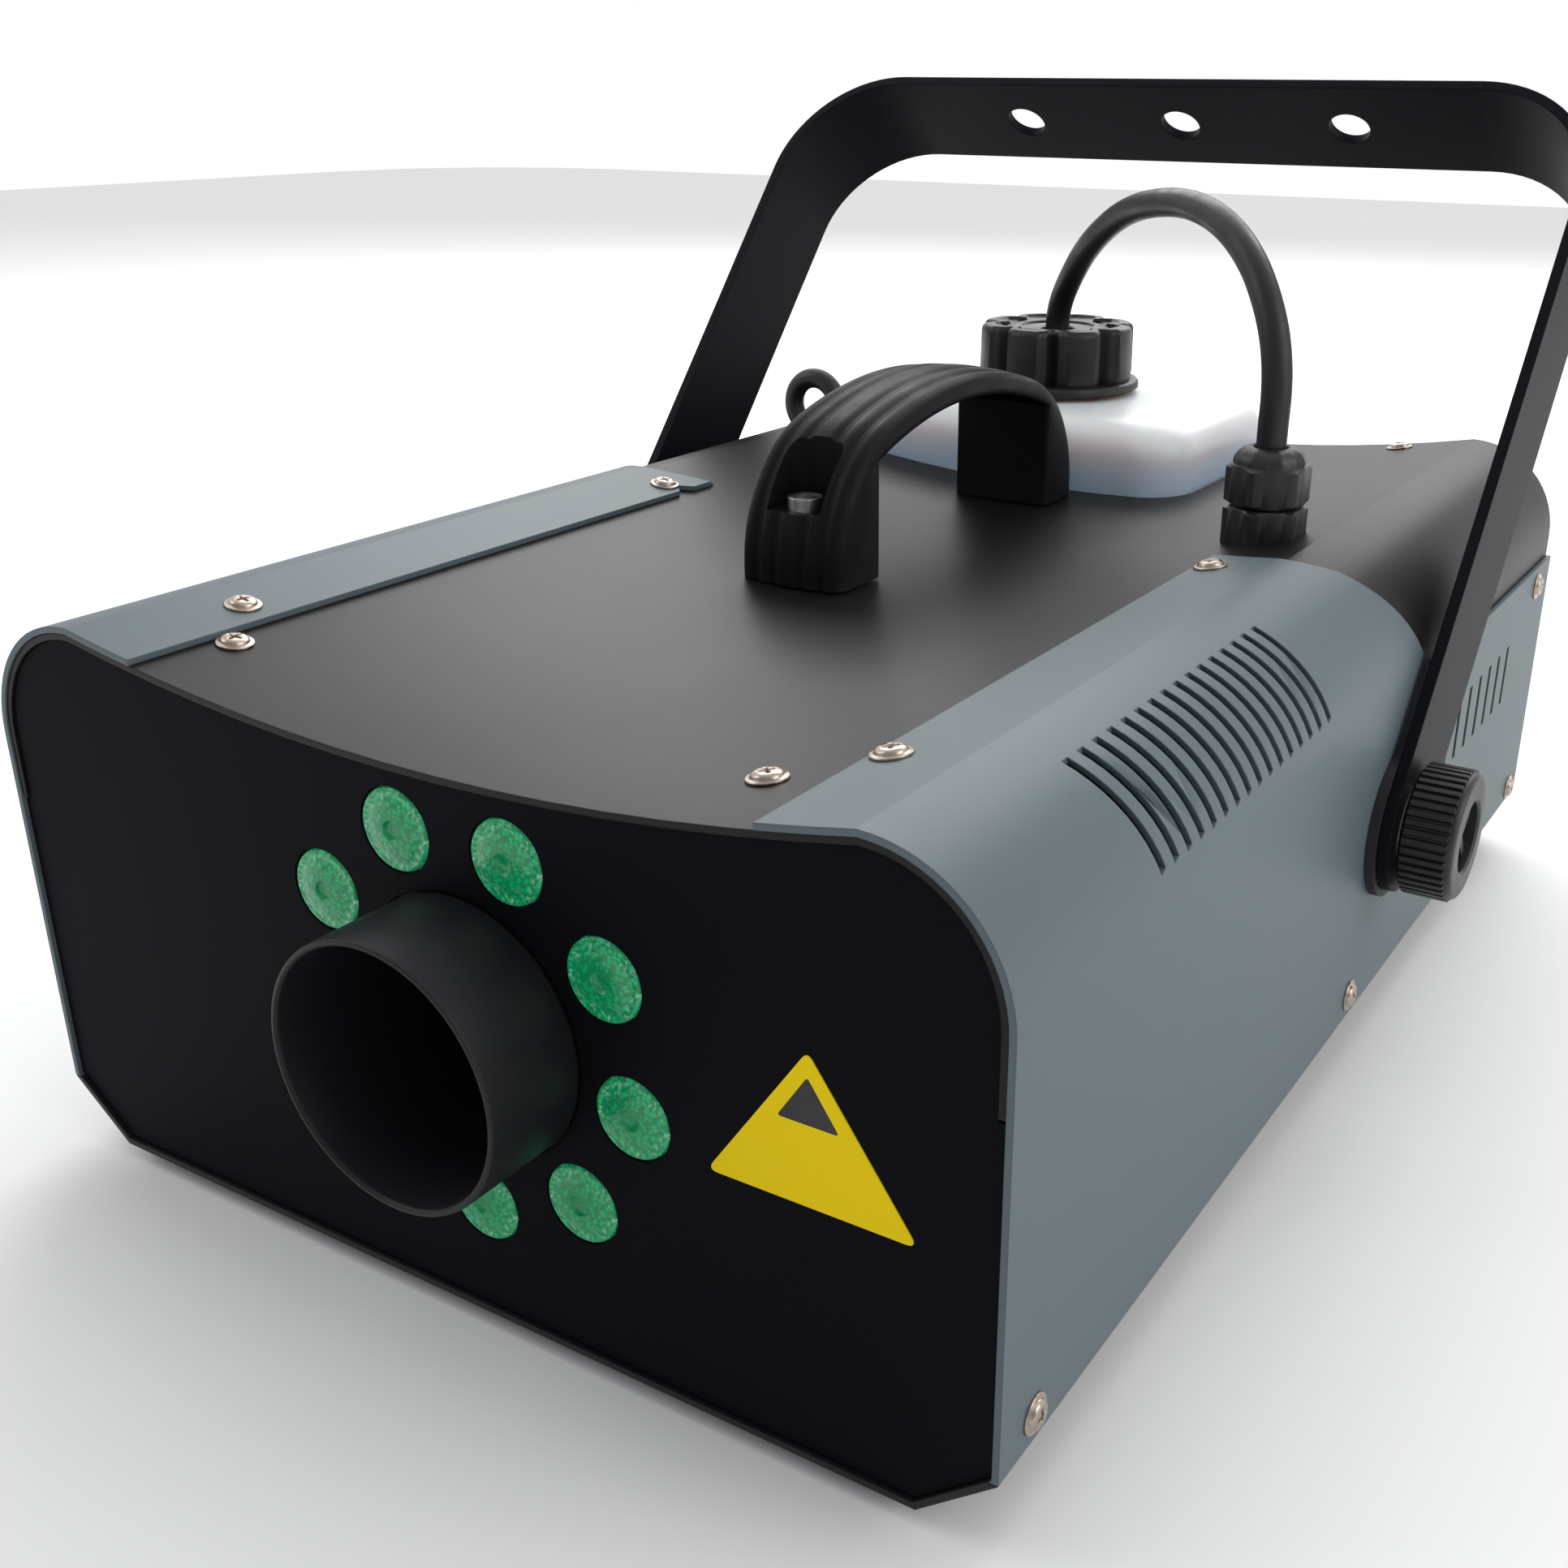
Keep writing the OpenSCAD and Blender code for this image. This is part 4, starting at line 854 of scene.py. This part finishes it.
def hexagon_mesh(mesh, flats, z0, z1, chamfer, centre, turn=0.0, bore=None):
    """Hexagonal nut with turned corners, and a bore when it has one."""
    steps = 72
    corner = flats / math.sqrt(3)

    def radius_at(a, limit):
        local = (a - turn + math.pi / 6) % (math.pi / 3) - math.pi / 6
        return min(flats / 2 / math.cos(local), limit)

    rows = [(z0, flats / 2 * 0.995), (z0 + chamfer, corner * 0.985), (z1 - chamfer, corner * 0.985),
            (z1, flats / 2 * 0.995)]
    rings = []
    if bore:
        rings.append([mesh.verts.new(centre + Vector((bore * math.cos(a), bore * math.sin(a), z0)))
                      for a in (2 * math.pi * k / steps for k in range(steps))])
    for z, limit in rows:
        rings.append([
            mesh.verts.new(centre + Vector((r * math.cos(a), r * math.sin(a), z)))
            for a, r in ((2 * math.pi * k / steps, radius_at(2 * math.pi * k / steps, limit))
                         for k in range(steps))
        ])
    if bore:
        rings.append([mesh.verts.new(centre + Vector((bore * math.cos(a), bore * math.sin(a), z1)))
                      for a in (2 * math.pi * k / steps for k in range(steps))])
        rings.append(rings[0])
    join_rings(mesh, rings)
    if not bore:
        mesh.faces.new(rings[0])
        mesh.faces.new(rings[-1])


GLAND = Vector((83 * MM, FRONT_Y + 232 * MM, FOOT_H + 131 * MM))


def add_gland():
    """Cable gland: flat hexagon and stem below, dome nut with ribs above."""
    mesh = bmesh.new()
    hexagon_mesh(mesh, 20 * MM, -2.6 * MM, 8.3 * MM, 0.7 * MM, GLAND, bore=7.7 * MM)
    lathe(mesh, [(7.8 * MM, -15 * MM), (7.8 * MM, 12 * MM), (4.4 * MM, 12 * MM), (4.4 * MM, -15 * MM),
                 (7.8 * MM, -15 * MM)], 48, Matrix.Translation(GLAND))
    piece("gland_body_piece", mesh, FITTING_PLASTIC, "housing", "gland_body", slot="gland_body", smooth=30)
    mesh = bmesh.new()
    hexagon_mesh(mesh, 20 * MM, 9.0 * MM, 19.4 * MM, 0.8 * MM, GLAND, bore=8.4 * MM)
    dome = [(8.3 * MM, 18.9 * MM), (9.5 * MM, 19.3 * MM)]
    for k in range(1, 8):
        a = math.pi / 2 * k / 7
        dome.append((5.0 * MM + 4.5 * MM * math.cos(a), 19.3 * MM + 4.6 * MM * math.sin(a)))
    dome += [(4.6 * MM, 23.6 * MM), (4.3 * MM, 22.8 * MM), (4.3 * MM, 17.6 * MM), (8.3 * MM, 17.6 * MM),
             (8.3 * MM, 18.9 * MM)]
    steps = 84
    ribs = 14
    rings = []
    for radius, z in dome:
        ring = []
        for k in range(steps):
            a = 2 * math.pi * k / steps
            swell = 0.28 * MM * max(0, math.cos(ribs * a)) if 5.2 * MM < radius and z > 19.5 * MM else 0
            ring.append(mesh.verts.new(GLAND + Vector(((radius + swell) * math.cos(a),
                                                       (radius + swell) * math.sin(a), z))))
        rings.append(ring)
    join_rings(mesh, rings)
    piece("gland_dome_piece", mesh, FITTING_PLASTIC, "housing", "gland_dome_nut", slot="gland_dome_nut",
          smooth=30)


EYE = Vector((-74 * MM, FRONT_Y + 252 * MM, FOOT_H + 148 * MM))


def add_eye():
    """Forged eye bolt: a ring that swells into a collar."""
    mesh = bmesh.new()
    around, tube = 72, 28
    rows = []
    for i in range(around):
        a = 2 * math.pi * i / around
        swell = 1 + 0.28 * max(0, -math.sin(a)) ** 6
        centre = EYE + Vector((8 * MM * math.cos(a), 0, 8 * MM * math.sin(a)))
        out = Vector((math.cos(a), 0, math.sin(a)))
        rows.append([
            mesh.verts.new(centre + 3 * MM * swell * (math.cos(b) * out + math.sin(b) * Vector((0, 1, 0))))
            for b in (2 * math.pi * k / tube for k in range(tube))
        ])
    rows.append(rows[0])
    join_rings(mesh, rows)
    seat = top_z(-74 * MM) - SHEET
    collar = [(0, seat + 0.8 * MM), (6.0 * MM, seat + 0.8 * MM), (6.5 * MM, seat + 1.3 * MM),
              (6.5 * MM, seat + 3.4 * MM), (6.0 * MM, seat + 4.1 * MM), (4.4 * MM, seat + 4.9 * MM),
              (3.7 * MM, seat + 6.8 * MM), (3.5 * MM, EYE.z - 9 * MM), (0, EYE.z - 9 * MM)]
    lathe(mesh, collar, 40, Matrix.Translation((EYE.x, EYE.y, 0)))
    stem = [(0, seat - 14 * MM), (3.6 * MM, seat - 14 * MM), (3.9 * MM, seat - 13.6 * MM),
            (3.9 * MM, seat + 1 * MM), (0, seat + 1 * MM)]
    lathe(mesh, stem, 32, Matrix.Translation((EYE.x, EYE.y, 0)))
    piece("safety_eye_piece", mesh, FITTING_PLASTIC, "housing", "safety_eye", slot="safety_eye")


def add_knob(s, side):
    """Clamping knob with fine straight ribs, a bevelled rim and a webbed recess."""
    inner_x, length = 137 * MM, 14 * MM
    ribs, per_rib = 44, 8
    steps = ribs * per_rib
    radius = 17.5 * MM

    def ring(mesh, x, r, depth):
        verts = []
        for k in range(steps):
            a = 2 * math.pi * k / steps
            wave = (k % per_rib) / per_rib
            tooth = depth * (1 if 0.15 < wave < 0.6 else 0)
            rr = r - tooth
            verts.append(mesh.verts.new(Vector((s * x, PIVOT.y + rr * math.cos(a), PIVOT.z + rr * math.sin(a)))))
        return verts

    mesh = bmesh.new()
    rib = 0.85 * MM
    rings = [ring(mesh, inner_x, 4.1 * MM, 0), ring(mesh, inner_x, radius - 1.6 * MM, 0),
             ring(mesh, inner_x + 0.9 * MM, radius - 0.5 * MM, 0),
             ring(mesh, inner_x + 1.0 * MM, radius, rib), ring(mesh, inner_x + length - 1.9 * MM, radius, rib),
             ring(mesh, inner_x + length - 1.7 * MM, radius - 0.7 * MM, 0)]
    for k in range(1, 5):
        a = math.pi / 2 * k / 4
        rings.append(ring(mesh, inner_x + length - 1.7 * MM + 1.7 * MM * math.sin(a),
                          radius - 0.7 * MM - 1.7 * MM * (1 - math.cos(a)), 0))
    rings += [ring(mesh, inner_x + length, 10.2 * MM, 0), ring(mesh, inner_x + length - 0.6 * MM, 9.4 * MM, 0),
              ring(mesh, inner_x + length - 6 * MM, 9 * MM, 0), ring(mesh, inner_x + length - 6 * MM, 4.1 * MM, 0),
              ring(mesh, inner_x, 4.1 * MM, 0)]
    join_rings(mesh, rings)
    web = round_rect(17.6 * MM, 2.2 * MM, 0.4 * MM, 2)
    for angle in (35, 125):
        place = (Matrix.Translation((s * (inner_x + length - 6.1 * MM), PIVOT.y, PIVOT.z))
                 @ Matrix.Rotation(s * math.pi / 2, 4, "Y") @ Matrix.Rotation(math.radians(angle), 4, "Z"))
        loft(mesh, [(web, 0), (web, 4.0 * MM)], place)
    piece(f"{side}_knob_piece", mesh, BLACK_PLASTIC, f"{side}_turn", f"{side}_knob", slot=f"{side}_knob",
          smooth=32)


add_screws()
add_lenses()
add_nozzle()
add_label()
add_handle()
add_tank()
add_cap()
add_gland()
add_eye()
add_knob(1, "right")
add_knob(-1, "left")


# ---------------------------------------------------------------- stage and light

def add_floor():
    mesh = bmesh.new()
    outline = round_rect(7.0, 7.0, 0.5, 4)
    mesh.faces.new([mesh.verts.new((x, y, -0.2 * MM)) for x, y in outline])
    data = bpy.data.meshes.new("floor")
    mesh.to_mesh(data)
    mesh.free()
    floor = bpy.data.objects.new("floor", data)
    data.materials.append(floor_finish())
    bpy.context.scene.collection.objects.link(floor)


def add_area(name, place, target, size, power, tint=(1, 1, 1)):
    data = bpy.data.lights.new(name, "AREA")
    data.shape = "RECTANGLE"
    data.size, data.size_y = size
    data.energy = power
    data.color = tint
    lamp = bpy.data.objects.new(name, data)
    bpy.context.scene.collection.objects.link(lamp)
    place = Vector(place)
    aim = (Vector(target) - place).to_track_quat("-Z", "Y")
    lamp.matrix_world = Matrix.Translation(place) @ aim.to_matrix().to_4x4()


def add_world():
    """White room, bright behind the machine and dimmer on the side the nozzle faces."""
    world = bpy.data.worlds.new("studio")
    world.use_nodes = True
    bpy.context.scene.world = world
    tree = world.node_tree
    coords = tree.nodes.new("ShaderNodeTexCoord")
    split = tree.nodes.new("ShaderNodeSeparateXYZ")
    ramp = tree.nodes.new("ShaderNodeValToRGB")
    stretch = tree.nodes.new("ShaderNodeMapRange")
    stretch.inputs["From Min"].default_value = -0.6
    stretch.inputs["From Max"].default_value = 0.2
    ramp.color_ramp.elements[0].color = (0.42, 0.43, 0.45, 1)
    ramp.color_ramp.elements[1].color = (1.0, 1.0, 1.0, 1)
    tree.links.new(coords.outputs["Generated"], split.inputs[0])
    tree.links.new(split.outputs["Y"], stretch.inputs["Value"])
    tree.links.new(stretch.outputs["Result"], ramp.inputs["Fac"])
    tree.links.new(ramp.outputs["Color"], tree.nodes["Background"].inputs["Color"])
    tree.nodes["Background"].inputs["Strength"].default_value = 1.0


add_floor()
add_world()
add_area("back_soft", (-0.5, 1.5, 1.3), (0, 0.1, 0.1), (2.0, 1.2), 26)
add_area("right_soft", (1.6, 0.1, 1.0), (0.1, 0, 0.08), (1.2, 1.2), 9)
add_area("left_soft", (-1.2, -0.6, 1.1), (0, 0, 0.1), (0.9, 0.9), 4)
bpy.context.scene.view_settings.view_transform = "Standard"
